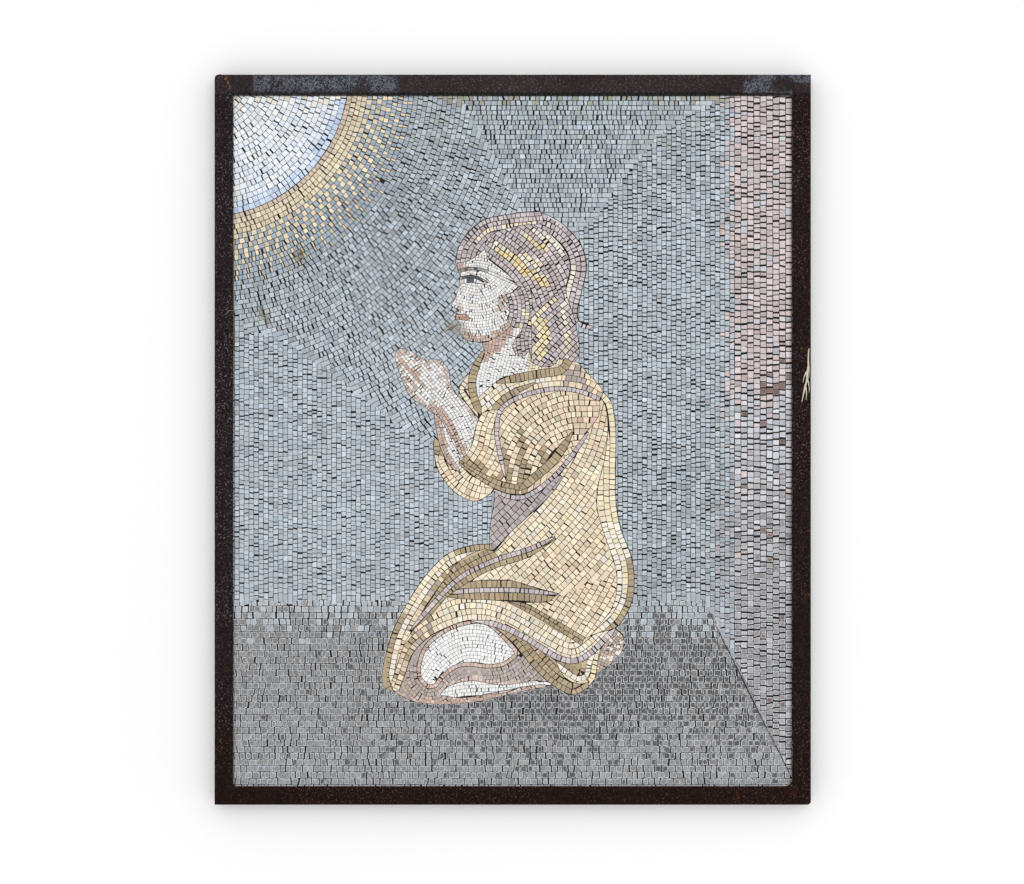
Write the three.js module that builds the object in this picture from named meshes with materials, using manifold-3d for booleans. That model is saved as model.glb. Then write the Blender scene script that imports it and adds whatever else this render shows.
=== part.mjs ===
// Framed wall mosaic: a frame of four welded steel angle bars holds a bed of mortar, and the
// picture is laid on the bed in fields of small hand-cut stones, each field of one colour family.
// Millimetres. X runs along the width, Z is up, and the picture faces -Y. The origin is the
// middle of the back, where the panel lies against its wall.
import * as THREE from "three";
import { mergeVertices } from "three/addons/utils/BufferGeometryUtils.js";
import Module from "manifold-3d";

const wasm = await Module();
wasm.setup();

// Driving dimensions
const FRAME_WIDTH = 980;
const FRAME_HEIGHT = 1200;
const BAR = 30; // both legs of the angle bar
const STEEL = 3; // thickness of its legs
const GAP = 0.3; // clearance between pieces that touch
const ROUNDED_CORNER = 6; // dressed corners, top left and bottom right
const TUCK = 10; // how far the mosaic runs behind the front legs
const STONE_DEPTH = 7.5;
const JOINT = 0.8; // mortar joint between neighbouring fields
const CURVE_STEP = 15; // spacing of the points along a curved outline
const SUN = { x: -506, z: 603, disc: 236, rays: 353 };
const WALL_X = 365; // where the wider columns of the side wall begin
const FLOOR_Z = -263;
const RIM_COURSE = 6.5; // the course of rosy stones round the light on the thigh
const LEAST_TAPER = 0.15; // the share of its width that a tapering strip keeps at its tip

const OUTER_X = FRAME_WIDTH / 2;
const OUTER_Z = FRAME_HEIGHT / 2;
const TRAY_X = OUTER_X - STEEL - GAP;
const TRAY_Z = OUTER_Z - STEEL - GAP;
const PICTURE_X = OUTER_X - BAR + TUCK;
const PICTURE_Z = OUTER_Z - BAR + TUCK;
const BED_FRONT = -(BAR - STEEL - GAP);
const FIELD_FRONT = BED_FRONT + GAP + 0.1;
const FIELD_BACK = FIELD_FRONT + STONE_DEPTH;

// The stones and the steel, as they look when clean
const FINISH = {
  steel: { color: 0x3a2b2a, roughness: 0.6, metalness: 0.3 },
  mortar: { color: 0x4c4c4b, roughness: 0.95, metalness: 0 },
  sky: { color: 0xb0b9bf, roughness: 0.7, metalness: 0 },
  wall: { color: 0xc3bcbd, roughness: 0.7, metalness: 0 },
  floor: { color: 0xa3a4a8, roughness: 0.75, metalness: 0 },
  white: { color: 0xe6e6e3, roughness: 0.6, metalness: 0 },
  cream: { color: 0xe0cfa6, roughness: 0.7, metalness: 0 },
  yellow: { color: 0xe2cb8c, roughness: 0.7, metalness: 0 },
  olive: { color: 0xa8977a, roughness: 0.75, metalness: 0 },
  mauve: { color: 0xb9aaa8, roughness: 0.75, metalness: 0 },
  rose: { color: 0xd9b3a0, roughness: 0.7, metalness: 0 },
  slate: { color: 0x565b5e, roughness: 0.7, metalness: 0 },
};

const part = new THREE.Group();

function addMesh(name, solid, finish) {
  const { vertProperties, triVerts } = solid.getMesh();
  const geometry = new THREE.BufferGeometry();
  geometry.setAttribute("position", new THREE.BufferAttribute(vertProperties, 3));
  geometry.setIndex(new THREE.BufferAttribute(triVerts, 1));
  const mesh = new THREE.Mesh(geometry, new THREE.MeshStandardMaterial(FINISH[finish]));
  mesh.name = name;
  part.add(mesh);
}

function solidOf(geometry) {
  geometry.deleteAttribute("normal");
  geometry.deleteAttribute("uv");
  const merged = mergeVertices(geometry, 1e-4);
  const vertProperties = merged.attributes.position.array;
  const triVerts = new Uint32Array(merged.index.array);
  return new wasm.Manifold(new wasm.Mesh({ numProp: 3, vertProperties, triVerts }));
}

// A box between two corners
function box([x0, y0, z0], [x1, y1, z1]) {
  const geometry = new THREE.BoxGeometry(x1 - x0, y1 - y0, z1 - z0);
  geometry.translate((x0 + x1) / 2, (y0 + y1) / 2, (z0 + z1) / 2);
  return solidOf(geometry);
}

// A plate of the given outline, seen from the front, between two depths
function plate(outline, back, front) {
  const geometry = new THREE.ExtrudeGeometry(new THREE.Shape(outline), {
    depth: back - front,
    bevelEnabled: false,
  });
  geometry.rotateX(Math.PI / 2);
  geometry.translate(0, back, 0);
  return solidOf(geometry);
}

const SHARP = [0, 0, 0, 0];

// A rectangle whose corners are rounded where they have a radius:
// bottom left, bottom right, top right, top left
function rectangle(x, z, radii = SHARP) {
  const [bottomLeft, bottomRight, topRight, topLeft] = radii;
  const shape = new THREE.Shape();
  shape.moveTo(-x + bottomLeft, -z);
  shape.lineTo(x - bottomRight, -z);
  if (bottomRight) shape.absarc(x - bottomRight, bottomRight - z, bottomRight, -Math.PI / 2, 0);
  shape.lineTo(x, z - topRight);
  shape.lineTo(topLeft - x, z);
  if (topLeft) shape.absarc(topLeft - x, z - topLeft, topLeft, Math.PI / 2, Math.PI);
  shape.lineTo(-x, bottomLeft - z);
  return shape.getPoints(5);
}

// ---- Frame: angle bars with one leg in front and one leg round the outside.
// The stiles run the full height, and the rails are coped to fit behind and between them.

const outerForm = plate(
  rectangle(OUTER_X, OUTER_Z, [0, ROUNDED_CORNER, 0, ROUNDED_CORNER]),
  1,
  -BAR - 1,
);

function stile(side) {
  const outer = side * OUTER_X;
  const flange = side * (OUTER_X - BAR);
  const web = side * (OUTER_X - STEEL);
  const span = (a, b) => [Math.min(a, b), Math.max(a, b)];
  const [f0, f1] = span(flange, outer);
  const [w0, w1] = span(web, outer);
  const front = box([f0, -BAR, -OUTER_Z], [f1, STEEL - BAR, OUTER_Z]);
  return front.add(box([w0, -BAR, -OUTER_Z], [w1, 0, OUTER_Z])).intersect(outerForm);
}

function rail(side) {
  const between = OUTER_X - BAR - GAP;
  const z0 = side > 0 ? OUTER_Z - BAR : -OUTER_Z;
  const w0 = side > 0 ? OUTER_Z - STEEL : -OUTER_Z;
  const front = box([-between, -BAR, z0], [between, STEEL - BAR, z0 + BAR]);
  return front
    .add(box([-between, -BAR, w0], [between, 0, w0 + STEEL]))
    .add(box([-TRAY_X, BED_FRONT, w0], [TRAY_X, 0, w0 + STEEL]))
    .intersect(outerForm);
}

addMesh("left_stile", stile(-1), "steel");
addMesh("right_stile", stile(1), "steel");
addMesh("top_rail", rail(1), "steel");
addMesh("bottom_rail", rail(-1), "steel");

// ---- Bed: mortar that fills the frame, with a recess as deep as the stones

const recess = plate(rectangle(PICTURE_X, PICTURE_Z), FIELD_BACK + GAP, -BAR);
const bed = plate(rectangle(TRAY_X, TRAY_Z), 0, BED_FRONT).subtract(recess);
addMesh("mortar_bed", bed, "mortar");

// ---- Fields of stones

const picture = plate(rectangle(PICTURE_X - JOINT, PICTURE_Z - JOINT), FIELD_BACK, FIELD_FRONT);
let taken = box([0, 1, 0], [1, 2, 1]); // grows with the outline of each field laid

// A smooth line through a few points
function curve(points, step = CURVE_STEP) {
  const places = points.map(([x, z]) => new THREE.Vector2(x, z));
  if (places.length === 2) return places;
  const spline = new THREE.SplineCurve(places);
  const steps = Math.max(places.length - 1, Math.round(spline.getLength() / step));
  return spline.getSpacedPoints(steps);
}

// A closed outline of smooth runs that meet at corners
function outline(runs, step = CURVE_STEP) {
  const points = runs.flatMap((run) => curve(run, step));
  return points.filter((p, i) => p.distanceTo(points.at(i - 1)) > 0.5);
}

// The space between two lines that run the same way
function between(one, other, step = CURVE_STEP) {
  return outline([one, [...other].reverse()], step);
}

// Unit normal at each point of an open line, to its right
function normals(line) {
  return line.map((p, i) => {
    const before = line[Math.max(i - 1, 0)];
    const after = line[Math.min(i + 1, line.length - 1)];
    const along = after.clone().sub(before).normalize();
    return new THREE.Vector2(along.y, -along.x);
  });
}

// A course of stones of one width along a line, narrowing towards its ends
function strip(points, width, startTaper = 0, endTaper = 0, step = 12) {
  const line = curve(points, step);
  const side = normals(line);
  const half = (i) => {
    const t = i / (line.length - 1);
    const start = startTaper ? Math.min(1, LEAST_TAPER + t / startTaper) : 1;
    const end = endTaper ? Math.min(1, LEAST_TAPER + (1 - t) / endTaper) : 1;
    return (width / 2) * start * end;
  };
  const right = line.map((p, i) => p.clone().addScaledVector(side[i], half(i)));
  const left = line.map((p, i) => p.clone().addScaledVector(side[i], -half(i)));
  return [...right, ...left.reverse()];
}

// The outline moved outwards all round
function grown(points, by) {
  const sign = Math.sign(THREE.ShapeUtils.area(points));
  return points.map((p, i) => {
    const a = p.clone().sub(points.at(i - 1)).normalize();
    const b = points[(i + 1) % points.length].clone().sub(p).normalize();
    const out = new THREE.Vector2(a.y + b.y, -a.x - b.x).normalize();
    const mitre = Math.max(0.5, out.x * a.y - out.y * a.x);
    return p.clone().addScaledVector(out, (sign * by) / mitre);
  });
}

// Lays one field. It is cut round the fields laid before it, with a joint between them,
// and offcuts too small to hold a stone are left to the mortar.
function lay(name, finish, shape) {
  const [largest] = plate(shape, FIELD_BACK, FIELD_FRONT)
    .intersect(picture)
    .subtract(taken)
    .decompose()
    .sort((a, b) => b.volume() - a.volume());
  addMesh(name, largest, finish);
  taken = taken.add(plate(grown(shape, JOINT), FIELD_BACK + 1, FIELD_FRONT - 1));
}

// The child's near sleeve
const SEAM = [
  [143, 67], [112, 79], [78, 84], [39, 79], [0, 65], [-21, 47], [-26, 23], [-25, -3], [-13, -60],
];
const SLEEVE_TOP = [[143, 66], ...SEAM.slice(1)];
const SLEEVE_LEFT = [[-50, 44], [-60, 23], [-67, -8], [-74, -24], [-88, -32]];
const SLEEVE_BOTTOM = [[-13, -60], [-8, -80], [15, -90], [52, -69], [84, -37], [124, 17]];
const SLEEVE_RIGHT = [[124, 17], [141, 39], [143, 66]];

lay("sleeve_seam", "mauve", strip(SEAM, 6.5, 0, 0.1));
lay("sleeve_edge_low", "olive", between(
  [[-88, -33], [-53, -54], [-21, -68], [10, -75]],
  [[-88, -41], [-53, -67], [-16, -86], [10, -90]],
));
lay("sleeve_edge_right", "olive", strip([[10, -83], [31, -66], [68, -33], [98, 12]], 13, 0.15, 0.25));
lay("sleeve_cuff", "cream", outline([
  SLEEVE_LEFT,
  [[-88, -40], [-53, -60], [-10, -74]],
  [[-10, -74], [-24, -3], [-25, 23], [-20, 47], [-29, 50], [-50, 44]],
]));
lay("sleeve_puff", "cream", outline([SLEEVE_TOP, SLEEVE_BOTTOM, SLEEVE_RIGHT]));
lay("sleeve_line", "mauve", strip(
  [[-32, -82], [-12, -92], [14, -95], [42, -82], [84, -43], [124, 12]],
  7, 0.1, 0.1,
));

// The praying hands, the forearms and the far sleeve
lay("hand_and_forearm", "white", outline([
  [[-81, -35], [-95, -11], [-105, 10], [-118, 34], [-131, 44], [-148, 57], [-168, 71], [-182, 99],
    [-192, 130], [-193, 143], [-184, 150]],
  [[-184, 150], [-171, 147], [-155, 137], [-142, 130]],
  [[-142, 130], [-131, 133], [-117, 128], [-106, 115], [-103, 92]],
  [[-103, 92], [-95, 78], [-79, 62], [-58, 36]],
  [[-58, 36], [-40, 20], [-53, -25], [-81, -35]],
], 9));
lay("far_forearm", "rose", outline([
  [[-125, 48], [-129, 40], [-125, 15], [-119, -11], [-107, -37], [-92, -52], [-83, -44]],
  [[-83, -44], [-80, -20], [-100, 20], [-125, 48]],
], 9));
lay("far_sleeve", "cream", outline([
  [[-128, 3], [-130, -14], [-122, -50], [-97, -84], [-63, -101], [-34, -86], [-29, -79]],
  [[-29, -79], [-60, -55], [-90, -30], [-128, 3]],
], 9));

// Collar and shoulder
lay("collar_far", "olive", strip([[-47, 147], [-61, 120], [-67, 95], [-64, 70], [-53, 42]], 12, 0.3, 0.1));
lay("collar_near", "olive", strip([[92, 131], [79, 114], [48, 109], [4, 101], [-27, 94]], 13, 0, 0.25));
lay("collar_strap", "olive", strip([[-36, 43], [-16, 66], [8, 81], [36, 93]], 10, 0.1, 0.4));
lay("chest_far", "cream", outline([
  [[-57, 130], [-76, 104], [-89, 83], [-80, 66], [-57, 36]],
  [[-57, 36], [-62, 80], [-57, 130]],
], 9));

// Hair
lay("hair_fringe", "mauve", outline([
  [[-94, 291], [-85, 324], [-52, 359], [-4, 371], [45, 376]],
  [[45, 376], [49, 357], [21, 354], [-2, 350], [-27, 342], [-44, 327], [-46, 314]],
  [[-46, 314], [-57, 305], [-75, 294], [-94, 291]],
], 9));
lay("hair_back", "mauve", outline([
  [[41, 376], [79, 357], [111, 322], [121, 284], [113, 244], [106, 209], [112, 193], [134, 186]],
  [[134, 186], [118, 182], [105, 193], [97, 214], [88, 247], [95, 284], [86, 312], [60, 340], [36, 352]],
  [[36, 352], [41, 376]],
], 9));
lay("hair_locks", "mauve", outline([
  [[30, 210], [32, 160], [31, 128]],
  [[31, 128], [49, 120], [69, 124], [75, 133], [101, 128]],
  [[101, 128], [109, 140], [108, 163], [102, 195], [100, 210]],
  [[100, 210], [76, 237], [52, 228], [30, 210]],
], 9));
lay("hair_side", "mauve", outline([
  [[31, 130], [27, 147], [20, 138], [8, 139], [0, 151], [3, 163], [16, 183], [1, 186], [-9, 201],
    [-4, 213], [-19, 237]],
  [[-19, 237], [-2, 241], [10, 251]],
  [[10, 251], [28, 245], [32, 215], [31, 130]],
], 7));
lay("hair_main", "mauve", outline([
  [[-46, 314], [-37, 296], [-19, 281], [1, 264], [10, 251]],
  [[10, 251], [40, 200], [95, 200]],
  [[95, 200], [112, 290], [60, 355], [0, 362], [-50, 340], [-46, 314]],
]));

// Face and neck. The head is drawn on the usual proportions: the eye half-way down the head,
// the foot of the nose half-way from the brow to the chin, the lips a third of the way below it.
const CROWN_Z = 376;
const CHIN_Z = 166;
const HEAD = CROWN_Z - CHIN_Z;
const down = (share) => CROWN_Z - share * HEAD;
const BROW_Z = down(0.47);
const EYE_Z = down(0.54);
const NOSE_Z = down(0.75);
const LIPS_Z = down(0.83);
const FACE_X = -91; // the upright that the profile keeps to
lay("eyebrow", "slate", strip(
  [[FACE_X + 2, BROW_Z - 1], [FACE_X + 22, BROW_Z + 4], [FACE_X + 48, BROW_Z], [6, BROW_Z - 22]],
  4, 0, 0.2, 8,
));
lay("eyelid", "slate", strip(
  [[FACE_X + 4, EYE_Z + 3], [FACE_X + 22, EYE_Z + 6], [FACE_X + 38, EYE_Z + 2], [FACE_X + 50, EYE_Z - 4]],
  3.5, 0, 0.3, 8,
));
lay("eye", "white", strip(
  [[FACE_X + 4, EYE_Z - 3], [FACE_X + 22, EYE_Z], [FACE_X + 36, EYE_Z - 3], [FACE_X + 45, EYE_Z - 7]],
  7, 0, 0.5, 6,
));
lay("lips", "rose", strip(
  [[FACE_X - 2, LIPS_Z], [FACE_X + 8, LIPS_Z], [FACE_X + 20, LIPS_Z - 2]],
  8, 0, 0.3, 6,
));
const PROFILE_LOW = [
  [FACE_X + 2, BROW_Z],
  [FACE_X + 6, EYE_Z + 2],
  [FACE_X - 3, NOSE_Z + 14],
  [FACE_X - 10, NOSE_Z + 5],
  [FACE_X - 7, NOSE_Z],
  [FACE_X + 1, NOSE_Z - 4],
  [FACE_X - 2, LIPS_Z + 4],
  [FACE_X - 1, LIPS_Z - 4],
  [FACE_X + 6, LIPS_Z - 12],
  [FACE_X + 4, CHIN_Z + 12],
  [FACE_X + 9, CHIN_Z + 2],
  [FACE_X + 20, CHIN_Z - 3],
];
lay("cheek", "white", outline([
  PROFILE_LOW,
  [[FACE_X + 20, CHIN_Z - 3], [-44, 161], [-14, 178], [10, 205]],
  [[10, 205], [14, 256]],
  [[14, 256], [FACE_X + 48, BROW_Z], [FACE_X + 22, BROW_Z + 4], [FACE_X + 2, BROW_Z]],
], 7));
lay("forehead", "white", outline([
  [[FACE_X - 1, 300], [FACE_X, BROW_Z + 10], [FACE_X + 2, BROW_Z]],
  [[FACE_X + 2, BROW_Z], [FACE_X + 22, BROW_Z + 4], [FACE_X + 48, BROW_Z], [6, BROW_Z - 22]],
  [[6, BROW_Z - 22], [5, 290], [-46, 325], [FACE_X - 1, 300]],
], 7));
lay("neck", "white", outline([
  [[-52, 170], [-48, 151], [-46, 140], [-57, 114], [-64, 90], [-60, 66]],
  [[-60, 66], [-42, 83], [-13, 104], [30, 108], [84, 122]],
  [[84, 122], [84, 134], [34, 136], [20, 200], [-52, 170]],
], 8));
lay("yoke", "cream", outline([
  [[-60, 78], [-58, 55], [-58, 36], [-20, 40]],
  [[-20, 40], [0, 65], [40, 79], [78, 84], [112, 79], [144, 66]],
  [[144, 66], [146, 84], [120, 112], [107, 127], [94, 131]],
  [[94, 131], [48, 109], [0, 100], [-27, 95], [-60, 78]],
], 9));

// Folds of the robe over the thigh
const FOLD_UPPER = [[-167, -312], [-130, -269], [-85, -226], [-28, -198], [28, -180], [69, -160]];
const FOLD_LOWER = [[-106, -252], [-60, -248], [10, -248], [73, -254]];
lay("fold_upper_line", "mauve", strip(FOLD_UPPER, 7, 0.12, 0.1));
lay("fold_upper_top", "olive", between(
  FOLD_UPPER.slice(0, 4),
  [[-167, -312], [-136, -266], [-107, -222], [-85, -198], [-51, -181], [-33, -183], [-22, -196]],
));
lay("fold_upper_low", "olive", between(
  FOLD_UPPER,
  [[-167, -314], [-133, -286], [-105, -256], [-56, -224], [-23, -209], [28, -192], [69, -164]],
));
lay("fold_lower_line", "mauve", strip(FOLD_LOWER, 7, 0.1, 0.15));
lay("fold_lower_top", "olive", between(
  FOLD_LOWER,
  [[-106, -250], [-82, -238], [-56, -232], [-3, -232], [28, -241], [73, -253]],
));
lay("fold_lower_low", "olive", between(
  FOLD_LOWER,
  [[-110, -258], [-75, -262], [-42, -263], [14, -267], [57, -266], [73, -255]],
));
lay("fold_back", "olive", between(
  [[-8, -265], [23, -271], [74, -299], [118, -325]],
  [[-8, -267], [28, -286], [74, -313], [113, -338]],
));

// Hem, and the corner of cloth that lies on the floor behind the leg
lay("hem_line", "mauve", strip(
  [[-68, -298], [-28, -304], [14, -322], [51, -345], [76, -359], [102, -364], [129, -350], [168, -311]],
  8.5, 0.15, 0.05,
));
lay("hem_edge", "olive", between(
  [[-31, -306], [14, -326], [51, -350], [70, -364], [82, -388], [104, -402], [124, -400]],
  [[-31, -308], [0, -334], [28, -368], [57, -397], [82, -414], [102, -420], [124, -408]],
));
lay("flap", "yellow", outline([
  [[60, -360], [76, -364], [102, -368], [129, -354], [152, -334]],
  [[152, -334], [142, -350], [139, -371], [134, -396], [124, -405]],
  [[124, -405], [104, -406], [80, -390], [60, -360]],
]));
lay("hem_band", "cream", outline([
  [[-190, -372], [-172, -325], [-134, -282], [-108, -256], [-60, -256], [-10, -264], [74, -300],
    [113, -330]],
  [[113, -330], [142, -318], [167, -312]],
  [[167, -312], [129, -350], [102, -364], [76, -359], [40, -340], [-20, -306], [-56, -297], [-90, -301]],
  [[-90, -301], [-136, -323], [-164, -351], [-177, -385], [-187, -412]],
  [[-187, -412], [-199, -410], [-197, -392], [-190, -372]],
]));

// The robe's front over the knee, its back edge, and the cloth between
const BACK = [
  [150, 76], [162, 62], [169, 23], [169, -56], [169, -99], [178, -147], [197, -201], [198, -258],
  [181, -297], [165, -314],
];
lay("robe_front", "cream", outline([
  [[-187, -413], [-206, -412], [-215, -399], [-212, -368], [-198, -317], [-175, -272], [-141, -221],
    [-105, -187], [-68, -174], [-36, -172]],
  [[-36, -172], [-30, -186]],
  [[-30, -186], [-60, -215], [-110, -255], [-165, -315], [-187, -413]],
]));
lay("robe_shadow", "mauve", outline([
  [[-31, -60], [-30, -99], [-36, -136], [-38, -172], [-30, -183]],
  [[-30, -183], [-8, -156], [28, -123], [64, -88], [84, -60]],
  [[84, -60], [20, -60], [-31, -60]],
]));
lay("back_edge", "yellow", between(
  BACK,
  [[138, 80], [152, 58], [157, 23], [152, -30], [141, -75], [139, -110], [147, -144], [161, -184],
    [172, -226], [166, -272], [142, -306], [112, -340]],
));
lay("robe_skirt", "cream", outline([
  [[-6, -266], [73, -252], [120, -232], [185, -215]],
  [[185, -215], [180, -290], [120, -345], [100, -330]],
  [[100, -330], [60, -300], [-6, -266]],
]));
lay("robe_body", "cream", outline([
  [[-110, -259], [-60, -220], [-30, -185], [20, -125], [84, -50], [150, 76]],
  [[150, 76], [160, 20], [160, -60], [160, -130], [180, -215]],
  [[180, -215], [120, -234], [73, -254], [0, -240], [-110, -259]],
]));

// The leg under the hem, and the foot behind it
const SHIN = [[-119, -420], [-105, -406], [-68, -397], [-17, -404], [40, -397], [76, -404]];
const SHIN_LOW = [[-119, -420], [-78, -424], [-17, -413], [40, -403], [76, -406]];
const THIGH = outline([
  [[-150, -390], [-150, -368], [-136, -338], [-96, -311], [-48, -304], [-17, -328], [3, -351]],
  [[3, -351], [-17, -366], [-45, -369], [-68, -366], [-93, -369], [-116, -385], [-134, -404], [-150, -390]],
], 9);
lay("thigh_light", "white", THIGH);
lay("shin_light", "white", between(SHIN, SHIN_LOW, 9));
lay("thigh_rim", "rose", grown(THIGH, RIM_COURSE));
lay("leg", "mauve", outline([
  [[-199, -412], [-164, -430], [-113, -435], [-56, -430], [14, -414], [74, -402]],
  [[74, -402], [20, -330], [-40, -290], [-100, -290], [-180, -340], [-199, -412]],
]));
lay("foot", "rose", outline([
  [[160, -306], [171, -312], [182, -325], [179, -348], [158, -371], [134, -388]],
  [[134, -388], [130, -350], [160, -306]],
], 7));

// The sun and the sky that rings it. The sun's middle lies outside the frame's top left corner,
// so its circles are drawn only from a little left of straight down to a little above level.
const SUN_ARC = { from: -1.75, span: 2, sides: 24 };
const BEYOND = 60;

function sector(radius) {
  const arc = Array.from({ length: SUN_ARC.sides + 1 }, (_, i) => {
    const angle = SUN_ARC.from + (i / SUN_ARC.sides) * SUN_ARC.span;
    return new THREE.Vector2(SUN.x + radius * Math.cos(angle), SUN.z + radius * Math.sin(angle));
  });
  return [new THREE.Vector2(SUN.x - BEYOND, SUN.z + BEYOND), ...arc];
}

// The background runs past the picture's edge on every side and is trimmed to it
const PAST_X = 480;
const PAST_Z = 590;
lay("sun_disc", "white", sector(SUN.disc));
lay("sun_rays", "yellow", sector(SUN.rays));
lay("sky_arcs", "sky", outline([
  [[-PAST_X, 236], [-461, 230]],
  [[-461, 230], [-432, 180]],
  [[-432, 180], [-369, 165], [-177, 24], [-110, -8]],
  [[-110, -8], [-50, 100]],
  [[-50, 100], [12, 386]],
  [[12, 386], [-95, 566]],
  [[-95, 566], [-96, PAST_Z]],
  [[-96, PAST_Z], [-PAST_X, PAST_Z]],
], 30));
lay("sky_rows", "sky", outline([
  [[-96, PAST_Z], [-95, 566]],
  [[-95, 566], [12, 386]],
  [[12, 386], [-5, 345]],
  [[-5, 345], [60, 330]],
  [[60, 330], [127, 361]],
  [[127, 361], [184, 437], [247, 514], [334, 563]],
  [[334, 563], [345, PAST_Z]],
], 30));

// The floor of laid rows, and the side wall with its wider columns
const FLOOR_CORNER = [319, FLOOR_Z];
lay("floor", "floor", outline([
  [[-PAST_X, FLOOR_Z], FLOOR_CORNER],
  [FLOOR_CORNER, [456, -551]],
  [[456, -551], [470, -PAST_Z]],
  [[470, -PAST_Z], [-PAST_X, -PAST_Z]],
]));
lay("side_wall", "wall", outline([
  [[WALL_X, PAST_Z], [PAST_X, PAST_Z]],
  [[PAST_X, PAST_Z], [PAST_X, -PAST_Z]],
  [[PAST_X, -PAST_Z], [WALL_X, -PAST_Z]],
]));
lay("sky_right", "sky", outline([
  [[60, PAST_Z], [WALL_X + 5, PAST_Z]],
  [[WALL_X + 5, PAST_Z], [WALL_X + 5, -PAST_Z]],
  [[WALL_X + 5, -PAST_Z], [60, -200]],
]));
lay("sky_left", "sky", outline([
  [[-PAST_X, 300], [0, 300]],
  [[0, 300], [0, -270]],
  [[0, -270], [-PAST_X, -270]],
]));

export default part;
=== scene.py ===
"""Framed wall mosaic: a kneeling child and a corner sun in small hand-cut stones, set in dark
mortar inside a welded frame of steel angle. Plans are drawn in millimetres across the front of
the panel, x to the right and z up, and turned to metres when a mesh is made. Materials are in
metres."""
import math
import random

import bpy
import numpy as np
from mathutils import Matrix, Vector, noise


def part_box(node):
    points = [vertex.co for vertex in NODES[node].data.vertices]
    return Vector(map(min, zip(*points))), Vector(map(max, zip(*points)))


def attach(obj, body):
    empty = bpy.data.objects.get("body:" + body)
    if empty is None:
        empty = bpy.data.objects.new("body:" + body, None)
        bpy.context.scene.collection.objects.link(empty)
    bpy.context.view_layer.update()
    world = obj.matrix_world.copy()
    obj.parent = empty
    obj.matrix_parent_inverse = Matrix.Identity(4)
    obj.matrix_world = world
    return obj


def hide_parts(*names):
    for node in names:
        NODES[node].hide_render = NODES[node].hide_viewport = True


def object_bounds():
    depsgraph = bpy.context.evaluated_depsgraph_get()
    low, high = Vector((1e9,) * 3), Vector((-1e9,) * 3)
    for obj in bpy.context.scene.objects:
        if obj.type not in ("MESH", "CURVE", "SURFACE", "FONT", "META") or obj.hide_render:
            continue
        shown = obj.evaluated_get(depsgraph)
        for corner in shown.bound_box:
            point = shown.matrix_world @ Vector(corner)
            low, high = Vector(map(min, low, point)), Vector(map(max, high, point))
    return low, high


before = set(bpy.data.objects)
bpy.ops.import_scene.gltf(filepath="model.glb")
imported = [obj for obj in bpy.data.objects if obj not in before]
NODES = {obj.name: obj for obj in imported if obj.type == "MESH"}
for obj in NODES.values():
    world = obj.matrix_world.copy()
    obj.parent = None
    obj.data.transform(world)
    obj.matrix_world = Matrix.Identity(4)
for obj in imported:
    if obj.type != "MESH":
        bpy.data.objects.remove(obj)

CAD_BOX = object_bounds()
MM = 0.001
bpy.ops.object.select_all(action="DESELECT")

FACE_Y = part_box("sky_arcs")[0].y / MM  # the plane of the stones' faces
FRAME_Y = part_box("left_stile")[0].y / MM  # the face of the frame
HALF_X = CAD_BOX[1].x / MM
HALF_Z = CAD_BOX[1].z / MM
BAR = 30.0  # width of the frame's face
SUN = (-506.0, 603.0)
SUN_DISC = 236.0
SUN_RAYS = 353.0
FLOOR_Z = -263.0
WALL_X = 365.0

STONE_DEPTH = 3.4  # how much of each stone is modelled, down into the mortar
MORTAR_BELOW = 2.4  # the mortar lies this far below the faces of the stones
LEAST_STONE = 0.07  # a cut piece smaller than this share of a whole stone is left out
SLIVER = 0.42  # and one smaller than this share is joined to the stone beside it
LIFT = 0.16  # how far the stones stand out or in, in mm
LEAN = 0.022  # how far they lean
WORN = 0.3  # how far the worn edge of a stone drops from its face
rng = random.Random(41)


# ---- colours of the stones

# colour of the stones as seen, and how far single stones stray from it
STONES = {
    "sky": ((188, 199, 209), 9),
    "sky_dark": ((168, 178, 187), 8),
    "sky_green": ((177, 188, 191), 8),
    "sky_stained": ((165, 164, 149), 8),
    "sun": ((243, 247, 252), 6),
    "sun_blue": ((232, 241, 253), 6),
    "sun_edge": ((205, 222, 246), 7),
    "sun_stained": ((235, 229, 215), 8),
    "ray": ((229, 216, 189), 7),
    "ray_rim": ((216, 196, 178), 6),
    "ray_blue": ((168, 181, 194), 7),
    "wall_pink": ((212, 197, 198), 11),
    "wall_pale": ((203, 204, 212), 11),
    "wall_mid": ((178, 177, 184), 11),
    "wall_dim": ((156, 154, 160), 11),
    "brown": ((129, 107, 101), 10),
    "floor_blue": ((178, 187, 195), 9),
    "floor_warm": ((138, 139, 142), 9),
    "floor_dark": ((94, 94, 98), 9),
    "floor_low": ((147, 149, 153), 10),
    "white": ((250, 250, 250), 5),
    "skin": ((243, 239, 236), 6),
    "rosy": ((217, 199, 191), 7),
    "salmon": ((208, 181, 168), 8),
    "lip": ((204, 168, 157), 6),
    "cream": ((247, 232, 205), 8),
    "pale": ((247, 240, 226), 6),
    "peach": ((240, 219, 191), 10),
    "yellow": ((245, 231, 196), 6),
    "gold": ((241, 219, 164), 7),
    "olive": ((181, 163, 134), 9),
    "mauve": ((208, 197, 200), 11),
    "mauve_dim": ((190, 179, 180), 8),
    "taupe": ((186, 174, 167), 8),
    "slate": ((92, 98, 102), 8),
    "grey": ((172, 168, 165), 8),
}


def linear(colour):
    """Scene-linear values of a colour given as seen on a screen, 0 to 255."""
    return [((c / 255 + 0.055) / 1.055) ** 2.4 if c > 10 else c / 3294.6 for c in colour]


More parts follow.
